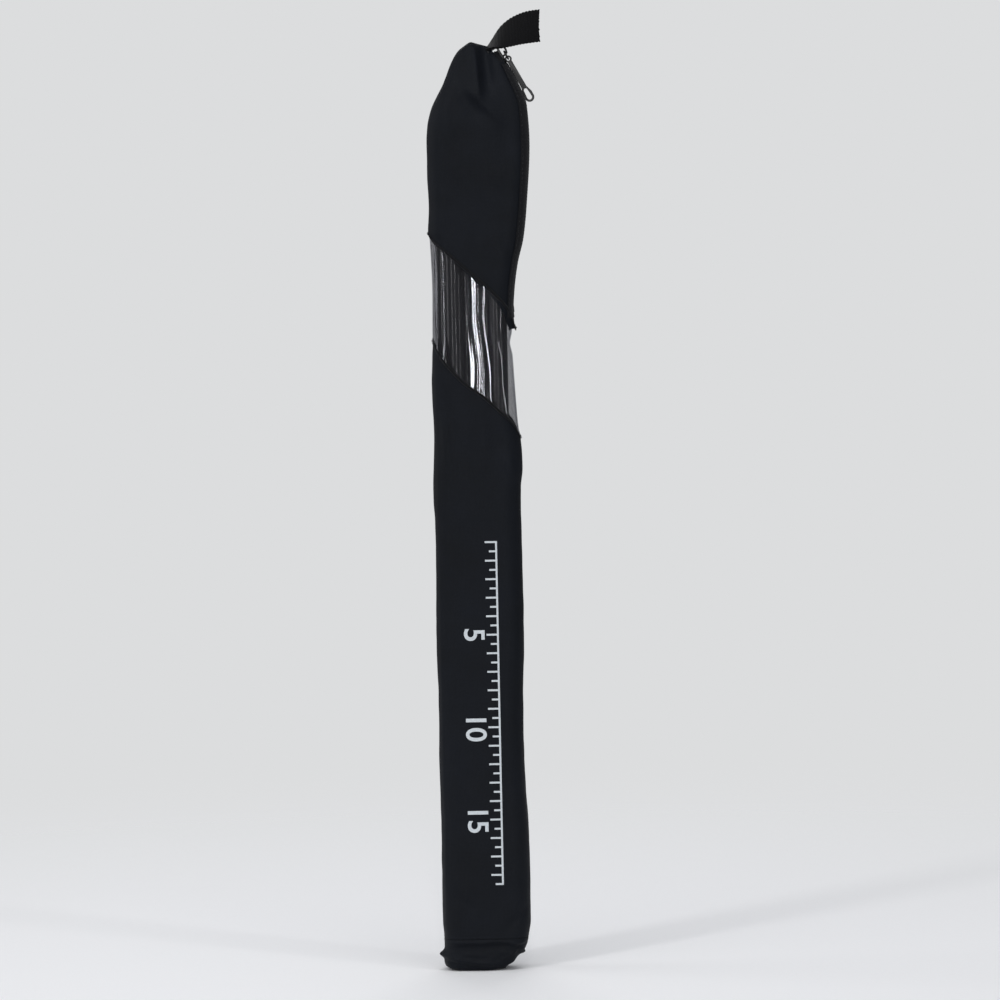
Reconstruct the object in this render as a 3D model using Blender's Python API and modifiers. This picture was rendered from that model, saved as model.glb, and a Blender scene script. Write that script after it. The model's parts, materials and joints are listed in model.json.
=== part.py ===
# Folded avalanche probe in its zipped carry bag.
# The bag is a slim fabric sleeve with a slanted clear window, a hood closed by a curved zip,
# and a webbing tab. Inside stand the six folded sections, strung on one steel cable.
# Driving dimensions are in millimetres from the middle of the bag's foot, +Z up, front at -Y.

import math

import bmesh
import bpy
from mathutils import Matrix, Vector

MM = 0.001
GAP = 0.3                     # between pieces that touch on the real object

# bag
AXIS_X = -7.02                # the sleeve's axis, left of the origin, which is mid-box
BAG_TOP = 500.0
BOTTOM_SEAM = 17.0            # where the gathered foot meets the sleeve
WINDOW_HALF, WINDOW_DEPTH = 22.0, 13.0   # half width and half depth of the section there
FLAT_SHARE = 0.31             # share of the depth that is flat down each side of the section
FABRIC = 0.6
FILM = 0.5
HEM_HEIGHT, HEM_THICK, HEM_PROUD = 2.2, 1.2, 0.35
WINDOW_TOP_LEFT, WINDOW_TOP_RIGHT = 398.5, 346.0
WINDOW_LOW_LEFT, WINDOW_LOW_RIGHT = 342.0, 288.0

# outlines of the bag, (height, offset) from the foot up
LEFT_EDGE = ((0, -16.5), (3, -20.0), (9, -22.6), (17, -23.5), (300, -23.5), (350, -22.0),
             (372, -22.2), (398, -24.0), (412, -23.3), (450, -23.6), (462, -21.6),
             (471, -17.9), (480, -13.4), (490, -9.6), (500, -5.4))
RIGHT_EDGE = ((0, 16.5), (3, 20.0), (9, 22.6), (17, 23.5), (250, 23.3), (272, 24.3),
              (288, 22.8), (302, 21.8), (341, 20.0), (358, 20.9), (369, 21.8), (381, 23.6),
              (395, 27.0), (412, 29.0), (447, 31.2), (465, 29.6), (478, 24.0), (488, 18.4),
              (494, 14.8), (500, 11.2))
HALF_DEPTH = ((0, 9.0), (3, 11.2), (9, 12.6), (17, 13.0), (400, 13.0), (455, 13.2), (465, 12.6),
              (475, 11.2), (482, 9.4), (489, 7.2), (495, 5.4), (500, 4.2))

# zip
SLOT_HALF = 4.7               # half width of the strip of zip that shows
TAPE_INNER, TAPE_OUTER = 1.0, 7.5
TAPE_THICK = 0.5
ZIP_LOW, ZIP_HIGH = 351.0, 497.0
TOOTH_PITCH, TOOTH_WIDTH = 2.4, 0.9
COIL_OUTER, COIL_ROOT, COIL_REACH = 2.3, 1.0, 0.7
COIL_PROUD, COIL_THICK = 0.5, 1.1
COIL_LOW, TEETH_HIGH = 360.0, 493.2
SLIDER_HIGH, SLIDER_LOW = 493.6, 367.0   # middle of the slider, closed and open
SLIDER_TILT = 31.0            # the zip's lean from upright at the closed slider
ZIP_TURN = 30.0               # turn of the slider about the centre of its path
PULL_RISE, PULL_DROP = 3.9, 1.2
LINK_LENGTH, LINK_WIDTH, LINK_WIRE = 4.6, 4.6, 1.0
TAB_LEAN = 28.0               # the hanging pull's lean from upright
TAB_LENGTH, TAB_WIDTH, TAB_THICK = 26.0, 3.0, 1.4
TAB_RING, TAB_EYE = 2.6, 1.9

# webbing, (offset, value) along its way out to the right
WEB_THICK = 1.4
WEB_START, WEB_REACH = 5.0, 38.4
WEB_RISE = ((5, 501.0), (11, 501.1), (13, 501.7), (18, 504.0), (22.5, 506.4), (29, 508.7), (38.4, 509.6))
WEB_TURN = ((5, 0), (10, 4), (13, 18), (18, 39), (22.5, 58), (29, 75), (35, 90), (38.4, 90))
WEB_HALF = ((5, 5.4), (11, 6.2), (18, 8.2), (24, 8.4), (38.4, 8.4))

# probe
SECTIONS = 6
TUBE_OD, TUBE_ID = 10.8, 9.6
TUBE_LENGTH = 429.0            # six of these and the tip make 2.6 m
TUBE_FOOT = 20.0
PITCH = 11.1
FRONT_ROW_X = 1.1             # the middle tube of the front row
FERRULE_OD, FERRULE_BORE = 9.0, 4.4
FERRULE_IN, FERRULE_OUT = 28.0, 13.0
CABLE_D, CABLE_LOOP = 2.2, 9.5
TIP_LENGTH, TIP_PLUG = 26.0, 16.0
COLLAR_HEIGHT, COLLAR_PLUG, COLLAR_BORE = 12.0, 14.0, 5.0
LOCK_OD, LOCK_RISE = 4.2, 16.0
BUTTON_D, BUTTON_Z = 3.0, 6.2
BUTTON_INNER, BUTTON_OUTER = 3.6, 6.2
LOOP_WIRE, LOOP_HALF, LOOP_HEIGHT = 1.8, 4.4, 9.0


# ---------------------------------------------------------------- scene and helpers

for old in list(bpy.data.objects):
    bpy.data.objects.remove(old, do_unlink=True)

parts = bpy.data.collections.new("avalanche_probe")
cutters = bpy.data.collections.new("cutters")
for collection in (parts, cutters):
    bpy.context.scene.collection.children.link(collection)

axis = bpy.data.objects.new("bag_axis", None)
axis.location.x = AXIS_X * MM
parts.objects.link(axis)


def material(name, color, roughness, metallic=0.0, alpha=1.0):
    mat = bpy.data.materials.new(name)
    mat.use_nodes = True
    shader = mat.node_tree.nodes["Principled BSDF"]
    shader.inputs["Base Color"].default_value = (*color, 1.0)
    shader.inputs["Roughness"].default_value = roughness
    shader.inputs["Metallic"].default_value = metallic
    shader.inputs["Alpha"].default_value = alpha
    mat.diffuse_color = (*color, alpha)
    return mat


NYLON = material("coated_nylon", (0.014, 0.017, 0.022), 0.6)
BINDING = material("binding_tape", (0.006, 0.007, 0.008), 0.7)
PVC = material("clear_pvc", (0.85, 0.87, 0.88), 0.1, alpha=0.35)
ZIP_TAPE = material("zip_tape", (0.009, 0.010, 0.012), 0.8)
ZIP_NYLON = material("zip_coil_nylon", (0.012, 0.012, 0.013), 0.35)
BLACK_METAL = material("black_zinc", (0.02, 0.02, 0.022), 0.3, 0.9)
WEBBING = material("webbing", (0.008, 0.009, 0.010), 0.8)
CARBON = material("carbon_tube", (0.01, 0.01, 0.012), 0.2)
ALUMINIUM = material("aluminium", (0.6, 0.61, 0.62), 0.3, 1.0)
STEEL = material("steel_cable", (0.45, 0.46, 0.47), 0.35, 1.0)
RED = material("red_anodised", (0.45, 0.03, 0.02), 0.35, 0.8)


def place(name, mesh, mat, location=(0, 0, 0), rotation=(0, 0, 0), smooth=True):
    """Make an object of a mesh that is in metres; its place is in millimetres from the bag's axis."""
    obj = bpy.data.objects.new(name, mesh)
    parts.objects.link(obj)
    obj.parent = axis
    obj.location = Vector(location) * MM
    obj.rotation_euler = rotation
    if smooth:
        mesh.shade_smooth()
        mesh.set_sharp_from_angle(angle=math.radians(35))
    mesh.materials.clear()
    mesh.materials.append(mat)
    return obj


def finish_mesh(bm, name):
    bmesh.ops.scale(bm, vec=(MM, MM, MM), verts=bm.verts)
    mesh = bpy.data.meshes.new(name)
    bm.to_mesh(mesh)
    bm.free()
    return mesh


def smooth_edge(points, z):
    """Offset at height z on a smooth curve through (height, offset) points."""
    z = min(max(z, points[0][0]), points[-1][0])
    i = max(k for k in range(len(points) - 1) if points[k][0] <= z)

    def slope(k):
        if k <= 0 or k >= len(points) - 1:
            return 0.0
        before = (points[k][1] - points[k - 1][1]) / (points[k][0] - points[k - 1][0])
        after = (points[k + 1][1] - points[k][1]) / (points[k + 1][0] - points[k][0])
        return 0.0 if before * after <= 0 else 2 * before * after / (before + after)

    (z0, v0), (z1, v1) = points[i], points[i + 1]
    run = z1 - z0
    t = (z - z0) / run
    first = slope(i) if i > 0 else (v1 - v0) / run
    last = slope(i + 1) if i + 2 < len(points) else (v1 - v0) / run
    return ((2 * t ** 3 - 3 * t ** 2 + 1) * v0 + (t ** 3 - 2 * t ** 2 + t) * run * first
            + (3 * t ** 2 - 2 * t ** 3) * v1 + (t ** 3 - t ** 2) * run * last)


def section(z):
    """Left edge, right edge, half depth and corner radius of the bag at height z."""
    left, right = smooth_edge(LEFT_EDGE, z), smooth_edge(RIGHT_EDGE, z)
    depth = smooth_edge(HALF_DEPTH, z)
    return left, right, depth, depth * (1 - FLAT_SHARE)


def slot_turn(depth, radius, slotted):
    """Angle from the right edge at which the fabric starts, beside the zip."""
    if not slotted:
        return 0.0
    return math.asin(min(0.7, max(0.0, SLOT_HALF - (depth - radius)) / radius))


def bag_columns(slotted, steps=6):
    """Columns around the section, anticlockwise from the right: (side, face, share of the corner)."""
    shares = [k / steps for k in range(steps + 1)]
    columns = [(1, 1, s) for s in shares] + [(-1, 1, s) for s in reversed(shares)]
    columns += [(-1, -1, s) for s in shares] + [(1, -1, s) for s in reversed(shares)]
    return columns


def bag_point(column, z, inset, slotted=False):
    side, face, share = column
    left, right, depth, radius = section(z)
    start = slot_turn(depth, radius, slotted and side > 0)
    turn = start + share * (math.pi / 2 - start)
    middle = right - radius if side > 0 else left + radius
    x = middle + side * (radius - inset) * math.cos(turn)
    y = face * (depth - radius + (radius - inset) * math.sin(turn))
    return Vector((x, y, z))


def around(column, slotted=False):
    """How far round the section a column is, from 0 at the left edge to 1 at the right."""
    side, _, share = column
    flat = WINDOW_DEPTH * FLAT_SHARE
    radius = WINDOW_DEPTH - flat
    start = slot_turn(WINDOW_DEPTH, radius, slotted and side > 0)
    arc = flat + radius * (start + share * (math.pi / 2 - start))
    half = 2 * flat + math.pi * radius + 2 * (WINDOW_HALF - radius)
    return arc / half if side < 0 else 1 - arc / half


def window_edge(column, left, right, slotted=False):
    """Height of a slanted edge, straight on the flat cloth, at a column."""
    return left + (right - left) * around(column, slotted)


def sheet(name, rows, mat, thickness, closed=True, cap=None, offset=-1.0):
    """A thin shell from rows of points, each anticlockwise, given its thickness by Solidify."""
    bm = bmesh.new()
    grid = [[bm.verts.new(point) for point in row] for row in rows]
    count = len(rows[0])
    for lower, upper in zip(grid, grid[1:]):
        for k in range(count if closed else count - 1):
            n = (k + 1) % count
            bm.faces.new((lower[k], lower[n], upper[n], upper[k]))
    if cap == "top":
        bm.faces.new(grid[-1])
    if cap == "foot":
        bm.faces.new(list(reversed(grid[0])))
    obj = place(name, finish_mesh(bm, name), mat)
    solid = obj.modifiers.new("thickness", "SOLIDIFY")
    solid.thickness = thickness * MM
    solid.offset = offset
    solid.use_even_offset = True
    return obj


def band(name, low, high, mat, thickness, inset, shares=(0.0, 1.0), slotted=False, cap=None):
    """Part of the bag's wall between two edges, each a height for every column."""
    columns = bag_columns(slotted)
    rows = []
    for share in shares:
        heights = [low(c) + share * (high(c) - low(c)) for c in columns]
        rows.append([bag_point(c, z, inset, slotted) for c, z in zip(columns, heights)])
    return sheet(name, rows, mat, thickness, closed=not slotted, cap=cap)


def turned(name, profile, mat, location, steps=24, rotation=(0, 0, 0)):
    """A turned piece: a closed profile of (radius, height) pairs, down its outer side and up its bore."""
    bm = bmesh.new()
    verts = [bm.verts.new((radius, 0, z)) for radius, z in profile]
    for a, b in zip(verts, verts[1:]):
        bm.edges.new((a, b))
    if profile[0][0] > 0 and profile[-1][0] > 0:
        bm.edges.new((verts[-1], verts[0]))
    obj = place(name, finish_mesh(bm, name), mat, location, rotation)
    screw = obj.modifiers.new("turn", "SCREW")
    screw.steps = screw.render_steps = steps
    screw.use_merge_vertices = True
    screw.merge_threshold = 0.00005
    screw.use_normal_calculate = False
    return obj


def block(name, size, location, rotation=(0, 0, 0), mat=BLACK_METAL, bevel=0.0):
    bm = bmesh.new()
    bmesh.ops.create_cube(bm, size=1.0)
    bmesh.ops.scale(bm, vec=size, verts=bm.verts)
    obj = place(name, finish_mesh(bm, name), mat, location, rotation)
    if bevel:
        soften(obj, bevel)
    return obj


def rod(name, diameter, length, location, rotation=(0, 0, 0), mat=BLACK_METAL, sides=20):
    bm = bmesh.new()
    bmesh.ops.create_cone(bm, cap_ends=True, segments=sides, radius1=diameter / 2,
                          radius2=diameter / 2, depth=length)
    return place(name, finish_mesh(bm, name), mat, location, rotation)


def soften(obj, width, segments=2):
    bevel = obj.modifiers.new("edges", "BEVEL")
    bevel.width = width * MM
    bevel.segments = segments
    bevel.limit_method = "ANGLE"
    bevel.angle_limit = math.radians(50)


def combine(obj, tool, operation):
    """Join or cut an object with a tool, which goes to the cutters."""
    parts.objects.unlink(tool)
    cutters.objects.link(tool)
    tool.hide_render = True
    tool.display_type = "WIRE"
    boolean = obj.modifiers.new(operation.lower(), "BOOLEAN")
    boolean.operation = operation
    boolean.object = tool


def wire(name, points, diameter, mat, closed=False, resolution=2):
    curve = bpy.data.curves.new(name, "CURVE")
    curve.dimensions = "3D"
    curve.bevel_depth = diameter / 2 * MM
    curve.bevel_resolution = resolution
    curve.use_fill_caps = True
    spline = curve.splines.new("POLY")
    spline.points.add(len(points) - 1)
    for knot, point in zip(spline.points, points):
        knot.co = (*(Vector(point) * MM), 1.0)
    spline.use_cyclic_u = closed
    obj = bpy.data.objects.new(name, curve)
    parts.objects.link(obj)
    obj.parent = axis
    curve.materials.append(mat)
    return obj


def flat_plate(name, outline, thickness, mat, location, rotation, holes=()):
    """A flat outline in its own XY plane, with holes, extruded to its thickness."""
    curve = bpy.data.curves.new(name, "CURVE")
    curve.dimensions = "2D"
    curve.fill_mode = "BOTH"
    curve.extrude = thickness / 2 * MM
    for ring in (outline, *holes):
        spline = curve.splines.new("POLY")
        spline.points.add(len(ring) - 1)
        for knot, (x, y) in zip(spline.points, ring):
            knot.co = (x * MM, y * MM, 0.0, 1.0)
        spline.use_cyclic_u = True
    flat = bpy.data.objects.new(name + "_outline", curve)
    parts.objects.link(flat)
    evaluated = flat.evaluated_get(bpy.context.evaluated_depsgraph_get())
    mesh = bpy.data.meshes.new_from_object(evaluated)
    bpy.data.objects.remove(flat, do_unlink=True)
    bm = bmesh.new()
    bm.from_mesh(mesh)
    bmesh.ops.remove_doubles(bm, verts=bm.verts, dist=0.00001)
    bmesh.ops.recalc_face_normals(bm, faces=bm.faces)
    bm.to_mesh(mesh)
    bm.free()
    return place(name, mesh, mat, location, rotation)


def arc(center, radius, start, end, steps, squash=1.0):
    """Points of a 2D arc, angles in degrees."""
    angles = [math.radians(start + (end - start) * k / steps) for k in range(steps + 1)]
    return [(center[0] + radius * math.cos(a), center[1] + squash * radius * math.sin(a))
            for a in angles]


# ---------------------------------------------------------------- bag

def bag_walls():
    foot_rows = (0.0, 0.06, 0.17, 0.36, 0.62, 1.0)
    foot_top = BOTTOM_SEAM - HEM_HEIGHT / 2 - GAP
    foot = band("bag_foot", lambda c: 0.0, lambda c: foot_top, NYLON, FABRIC, 0.0, foot_rows,
                cap="foot")
    foot.data.set_sharp_from_angle(angle=math.radians(60))

    sleeve_low = BOTTOM_SEAM + HEM_HEIGHT / 2 + GAP
    band("lower_sleeve", lambda c: sleeve_low,
         lambda c: window_edge(c, WINDOW_LOW_LEFT, WINDOW_LOW_RIGHT) - HEM_HEIGHT - GAP,
         NYLON, FABRIC, 0.0, (0.0, 0.4, 0.75, 0.86, 0.93, 1.0))

    band("window_film",
         lambda c: window_edge(c, WINDOW_LOW_LEFT, WINDOW_LOW_RIGHT) + GAP,
         lambda c: window_edge(c, WINDOW_TOP_LEFT, WINDOW_TOP_RIGHT) - GAP,
         PVC, FILM, 0.2, (0.0, 0.33, 0.67, 1.0))

    hood_rows = [0.0, 0.08, 0.16, 0.24, 0.34, 0.45, 0.56, 0.66, 0.74, 0.8, 0.86, 0.91, 0.96, 1.0]
    band("hood",
         lambda c: window_edge(c, WINDOW_TOP_LEFT, WINDOW_TOP_RIGHT, True) + HEM_HEIGHT + GAP,
         lambda c: BAG_TOP, NYLON, FABRIC, 0.0, hood_rows, slotted=True, cap="top")


def bag_hems():
    """The bound edges: one over the foot's seam, one along each slanted edge of the window."""
    edges = (("foot_binding", BOTTOM_SEAM - HEM_HEIGHT / 2, BOTTOM_SEAM - HEM_HEIGHT / 2),
             ("window_lower_hem", WINDOW_LOW_LEFT - HEM_HEIGHT, WINDOW_LOW_RIGHT - HEM_HEIGHT),
             ("window_upper_hem", WINDOW_TOP_LEFT, WINDOW_TOP_RIGHT))
    for name, left, right in edges:
        band(name, lambda c: window_edge(c, left, right),
             lambda c: window_edge(c, left, right) + HEM_HEIGHT,
             BINDING, HEM_THICK, -HEM_PROUD)


def webbing_tab():
    """A short cut end of flat webbing, sewn on the hood's top, that turns on edge as it leaves it."""
    stations = 14
    rows = []
    for k in range(stations + 1):
        x = WEB_START + (WEB_REACH - WEB_START) * k / stations
        turn = math.radians(smooth_edge(WEB_TURN, x))
        half = smooth_edge(WEB_HALF, x)
        across = Vector((0, math.cos(turn), math.sin(turn))) * half
        middle = Vector((x, 0, smooth_edge(WEB_RISE, x)))
        rows.append([middle - across, middle, middle + across])
    tab = sheet("webbing_tab", rows, WEBBING, WEB_THICK, closed=False, offset=0.0)
    tab.data.set_sharp_from_angle(angle=math.radians(60))


# ---------------------------------------------------------------- zip

def flank_point(y, z, inset):
    """Point on the bag's right flank, y off the zip's middle line."""
    _, right, depth, radius = section(z)
    beyond = max(0.0, abs(y) - (depth - radius))
    reach = radius - inset
    return Vector((right - radius + math.sqrt(reach ** 2 - beyond ** 2), y, z))


def zip_heights(low, high, step):
    """Heights of points an equal step apart along the curved zip."""
    heights = [low]
    while heights[-1] < high:
        z = heights[-1]
        lean = (smooth_edge(RIGHT_EDGE, z + 0.5) - smooth_edge(RIGHT_EDGE, z - 0.5))
        heights.append(z + step / math.hypot(1.0, lean))
    return heights[:-1]


def zip_tape(name, face):
    heights = zip_heights(ZIP_LOW, ZIP_HIGH, 6.0) + [ZIP_HIGH]
    rows = []
    for z in heights:
        depth, radius = section(z)[2:]
        widest = min(TAPE_OUTER, depth - radius + 0.75 * (radius - FABRIC - 2 * GAP))
        ys = [TAPE_INNER + (widest - TAPE_INNER) * k / 3 for k in range(4)]
        row = [flank_point(face * y, z, FABRIC + 2 * GAP) for y in ys]
        rows.append(row if face > 0 else row[::-1])
    sheet(name, rows, ZIP_TAPE, TAPE_THICK, closed=False)


def zip_coil(name, face, phase):
    """Half of the coil: a comb whose teeth reach across the middle line between the other's."""
    starts = zip_heights(COIL_LOW, TEETH_HIGH, TOOTH_PITCH)
    bm = bmesh.new()

    def vertex(y, z):
        return bm.verts.new(flank_point(face * y, z, -COIL_PROUD))

    def face_of(corners):
        bm.faces.new(corners if face < 0 else corners[::-1])

    previous = None
    stations = []
    for low, high in zip(starts, starts[1:]):
        pitch = high - low
        first = low + phase * pitch
        stations += [(first, True), (first + TOOTH_WIDTH / TOOTH_PITCH * pitch, False)]
    stations = [(COIL_LOW - 1.0, False), *stations, (ZIP_HIGH, False)]
    for z, tooth_starts in stations:
        outer, root = vertex(COIL_OUTER, z), vertex(COIL_ROOT, z)
        reach = None
        if previous:
            face_of((previous[0], previous[1], root, outer))
        if previous and previous[3]:
            reach = vertex(-COIL_REACH, z)
            face_of((previous[1], previous[2], reach, root))
        if tooth_starts:
            reach = vertex(-COIL_REACH, z)
        previous = (outer, root, reach, tooth_starts)
    obj = place(name, finish_mesh(bm, name), ZIP_NYLON)
    solid = obj.modifiers.new("thickness", "SOLIDIFY")
    solid.thickness = COIL_THICK * MM
    solid.offset = -1.0


def slider_place():
    """The closed slider's place on the zip, and its lean."""
    x = smooth_edge(RIGHT_EDGE, SLIDER_HIGH)
    return Vector((x, 0, SLIDER_HIGH)), math.radians(SLIDER_TILT)


def zip_path_centre():
    """Centre of the arc that the slider follows from the closed end of the zip to the open end."""
    closed, _ = slider_place()
    opened = Vector((smooth_edge(RIGHT_EDGE, SLIDER_LOW), 0, SLIDER_LOW))
    chord = opened - closed
    inward = Vector((chord.z, 0, -chord.x)).normalized()
    reach = chord.length / 2 / math.tan(math.radians(ZIP_TURN) / 2)
    return (closed + opened) / 2 + inward * reach


def hang(obj, name, point):
    """Parent a moving piece to an empty on its joint's axis, without moving it."""
    empty = bpy.data.objects.new(name, None)
    parts.objects.link(empty)
    empty.parent = axis
    empty.location = point * MM
    obj.parent = empty
    obj.location -= empty.location


def along_slider(rise, drop):
    """A point off the closed slider: rise away from the bag, drop down along the zip."""
    start, lean = slider_place()
    out = Vector((math.cos(lean), 0, math.sin(lean)))
    down = Vector((math.sin(lean), 0, -math.cos(lean)))
    return start + out * rise + down * drop


def zip_slider():
    """Two plates round the coils, joined by the wedge between them, under a bridge for the pull."""
    start, lean = slider_place()
    turn = (0, -lean, 0)

    def at(out, up):
        return along_slider(out, -up)

    def plate(name, out, thick, width):
        half = [(-4.4, 2.9), (-1.0, 3.3), (2.6, 4.3), (4.2, 3.6), (4.6, 1.2)]
        outline = [(up, width * across) for up, across in half]
        outline += [(up, -across) for up, across in reversed(outline)]
        return flat_plate(name, outline, thick, BLACK_METAL, at(out, 0.0),
                          (0, -lean - math.pi / 2, 0))

    body = plate("zip_slider", 1.7, 1.0, 1.0)
    inner = plate("slider_inner_plate", -3.3, 0.8, 0.82)
    wedge = block("slider_wedge", (5.2, 1.3, 2.0), at(-0.8, 3.4), turn)
    arch_points = [(1.9, -3.0), (3.6, -3.0), (4.8, -2.4), (5.2, -0.6), (5.0, 1.2), (3.9, 2.4),
                   (1.9, 2.7)]
    arch = wire("slider_bridge", [at(out, up) for out, up in arch_points], 1.1, BLACK_METAL)
    arch = as_mesh(arch)
    for tool in (inner, wedge, arch):
        combine(body, tool, "UNION")
    for face in (-1, 1):
        flange = block("slider_flange", (1.1, 0.7, 5.0), at(0.8, -1.4) + Vector((0, face * 2.85, 0)),
                       turn)
        combine(body, flange, "UNION")
    hang(body, "zip_path_centre", zip_path_centre())


def as_mesh(obj):
    """Turn a curve object into a welded mesh object, for a union or a cut."""
    evaluated = obj.evaluated_get(bpy.context.evaluated_depsgraph_get())
    mesh = bpy.data.meshes.new_from_object(evaluated)
    bm = bmesh.new()
    bm.from_mesh(mesh)
    bmesh.ops.remove_doubles(bm, verts=bm.verts, dist=0.00001)
    bm.to_mesh(mesh)
    bm.free()
    new = bpy.data.objects.new(obj.name, mesh)
    parts.objects.link(new)
    new.parent = obj.parent
    bpy.data.objects.remove(obj, do_unlink=True)
    return new


def pull_direction():
    lean = math.radians(TAB_LEAN)
    return Vector((math.sin(lean), 0, -math.cos(lean)))


def pull_link():
    """A small wire ring: its upper bar turns under the bridge, its lower bar holds the tab."""
    pivot = along_slider(PULL_RISE, PULL_DROP)
    down = pull_direction()
    half = LINK_WIDTH / 2
    corners = [(-half + 0.7, 0), (half - 0.7, 0), (half, 0.7), (half, LINK_LENGTH - 0.7),
               (half - 0.7, LINK_LENGTH), (-half + 0.7, LINK_LENGTH),
               (-half, LINK_LENGTH - 0.7), (-half, 0.7)]
    points = [Vector((0, y, 0)) + down * along for y, along in corners]
    link = wire("pull_link", points, LINK_WIRE, BLACK_METAL, closed=True)
    link.location = pivot * MM


def pull_tab():
    """The slim pull, flat to the front, with an eye for the link and an open ring at its end."""
    pivot = along_slider(PULL_RISE, PULL_DROP) + pull_direction() * LINK_LENGTH
    reach = TAB_LENGTH - TAB_RING
    half = TAB_WIDTH / 2
    outline = arc((0, 0), TAB_EYE, 40, 320, 12)
    outline += [(TAB_EYE + 1.6, -half * 0.8), (reach - 6.0, -half), (reach - 2.5, -TAB_RING)]
    outline += arc((reach, 0), TAB_RING, -90, 90, 10)
    outline += [(reach - 2.5, TAB_RING), (reach - 6.0, half), (TAB_EYE + 1.6, half * 0.8)]
    eye = arc((0, 0), 0.95, 0, 330, 11)
    slot = arc((reach, 0), 1.35, -90, 90, 8) + arc((reach - 4.2, 0), 1.0, 90, 270, 8)
    along, front = pull_direction(), Vector((0, -1, 0))
    turn = Matrix((along, front.cross(along), front)).transposed().to_euler()
    flat_plate("pull_tab", outline, TAB_THICK, BLACK_METAL, pivot, turn, (eye, slot))


def zip_bottom_stop():
    z = COIL_LOW - 3.6
    lean = math.radians(5)
    block("zip_bottom_stop", (1.4, 5.2, 3.6), flank_point(0, z, -0.15), (0, -lean, 0),
          BLACK_METAL, 0.3)


# ---------------------------------------------------------------- probe

def tube_places():
    """Middles of the six sections, in folding order from the handle to the tip."""
    back_x = FRONT_ROW_X - PITCH / 2
    row_y = PITCH * math.sqrt(3) / 4
    front = [(FRONT_ROW_X + PITCH * k, -row_y) for k in (-1, 0, 1)]
    back = [(back_x + PITCH * k, row_y) for k in (-1, 0, 1)]
    return [front[1], front[0], back[0], back[1], back[2], front[2]]


def joint_end(number):
    """Height of the tube ends at a joint, and the way out of them: down at odd joints, up at even."""
    return (TUBE_FOOT, -1) if number % 2 == 1 else (TUBE_FOOT + TUBE_LENGTH, 1)


def probe_sections():
    names = ["handle_section"] + ["section_%d" % n for n in range(2, SECTIONS)] + ["tip_section"]
    outer, inner = TUBE_OD / 2, TUBE_ID / 2
    for name, (x, y) in zip(names, tube_places()):
        profile = [(inner + 0.15, TUBE_LENGTH), (outer - 0.15, TUBE_LENGTH),
                   (outer, TUBE_LENGTH - 0.3), (outer, 0.3), (outer - 0.15, 0), (inner + 0.15, 0),
                   (inner, 0.3), (inner, TUBE_LENGTH - 0.3)]
        turned(name, profile, CARBON, (x, y, TUBE_FOOT))


def ferrules():
    """The tube-shaped joint pieces, each glued in one section and left standing out of its end."""
    outer, bore = FERRULE_OD / 2, FERRULE_BORE / 2
    for number in range(1, SECTIONS):
        x, y = tube_places()[number - 1]
        end, way = joint_end(number)
        heights = (FERRULE_OUT, FERRULE_OUT - 1.5, -FERRULE_IN + 0.5, -FERRULE_IN)
        radii = (outer - 1.3, outer, outer, outer - 0.4)
        inside = [(bore, -FERRULE_IN), (bore, FERRULE_OUT - 0.6), (bore + 0.6, FERRULE_OUT)]
        profile = [*zip(radii, heights), *inside]
        profile = [(r, way * h) for r, h in profile]
        if way < 0:
            profile.reverse()
        turned("ferrule_%d" % number, profile, ALUMINIUM, (x, y, end), 20)


def cable():
    """One steel cable from the lock through all six sections to the tip, looped at each joint."""
    places = tube_places()
    top = TUBE_FOOT + TUBE_LENGTH
    x, y = places[0]
    points = [(x, y, top + 1.5)]
    for number in range(1, SECTIONS):
        here, there = places[number - 1], places[number]
        end, way = joint_end(number)
        steps = 10
        for k in range(steps + 1):
            turn = math.pi * k / steps
            share = (1 - math.cos(turn)) / 2
            height = FERRULE_OUT * (1 - share) + CABLE_LOOP * math.sin(turn)
            points.append((here[0] + (there[0] - here[0]) * share,
                           here[1] + (there[1] - here[1]) * share, end + way * height))
    x, y = places[-1]
    points.append((x, y, top - TIP_PLUG - GAP))
    wire("tension_cable", points, CABLE_D, STEEL)


def probe_tip():
    """The bullet-shaped tip, plugged into its section."""
    x, y = tube_places()[-1]
    outer, plug = TUBE_OD / 2, FERRULE_OD / 2
    nose = [(outer * math.cos(math.radians(a)), 4.0 + (TIP_LENGTH - 4.0) * math.sin(math.radians(a)))
            for a in (0, 18, 36, 52, 66, 78)]
    profile = [(0, TIP_LENGTH), *reversed(nose), (outer, GAP + 0.3), (outer - 0.3, GAP),
               (plug, GAP), (plug, 0.6 - TIP_PLUG), (plug - 0.6, -TIP_PLUG), (0, -TIP_PLUG)]
    turned("probe_tip", profile, ALUMINIUM, (x, y, TUBE_FOOT + TUBE_LENGTH))


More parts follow.
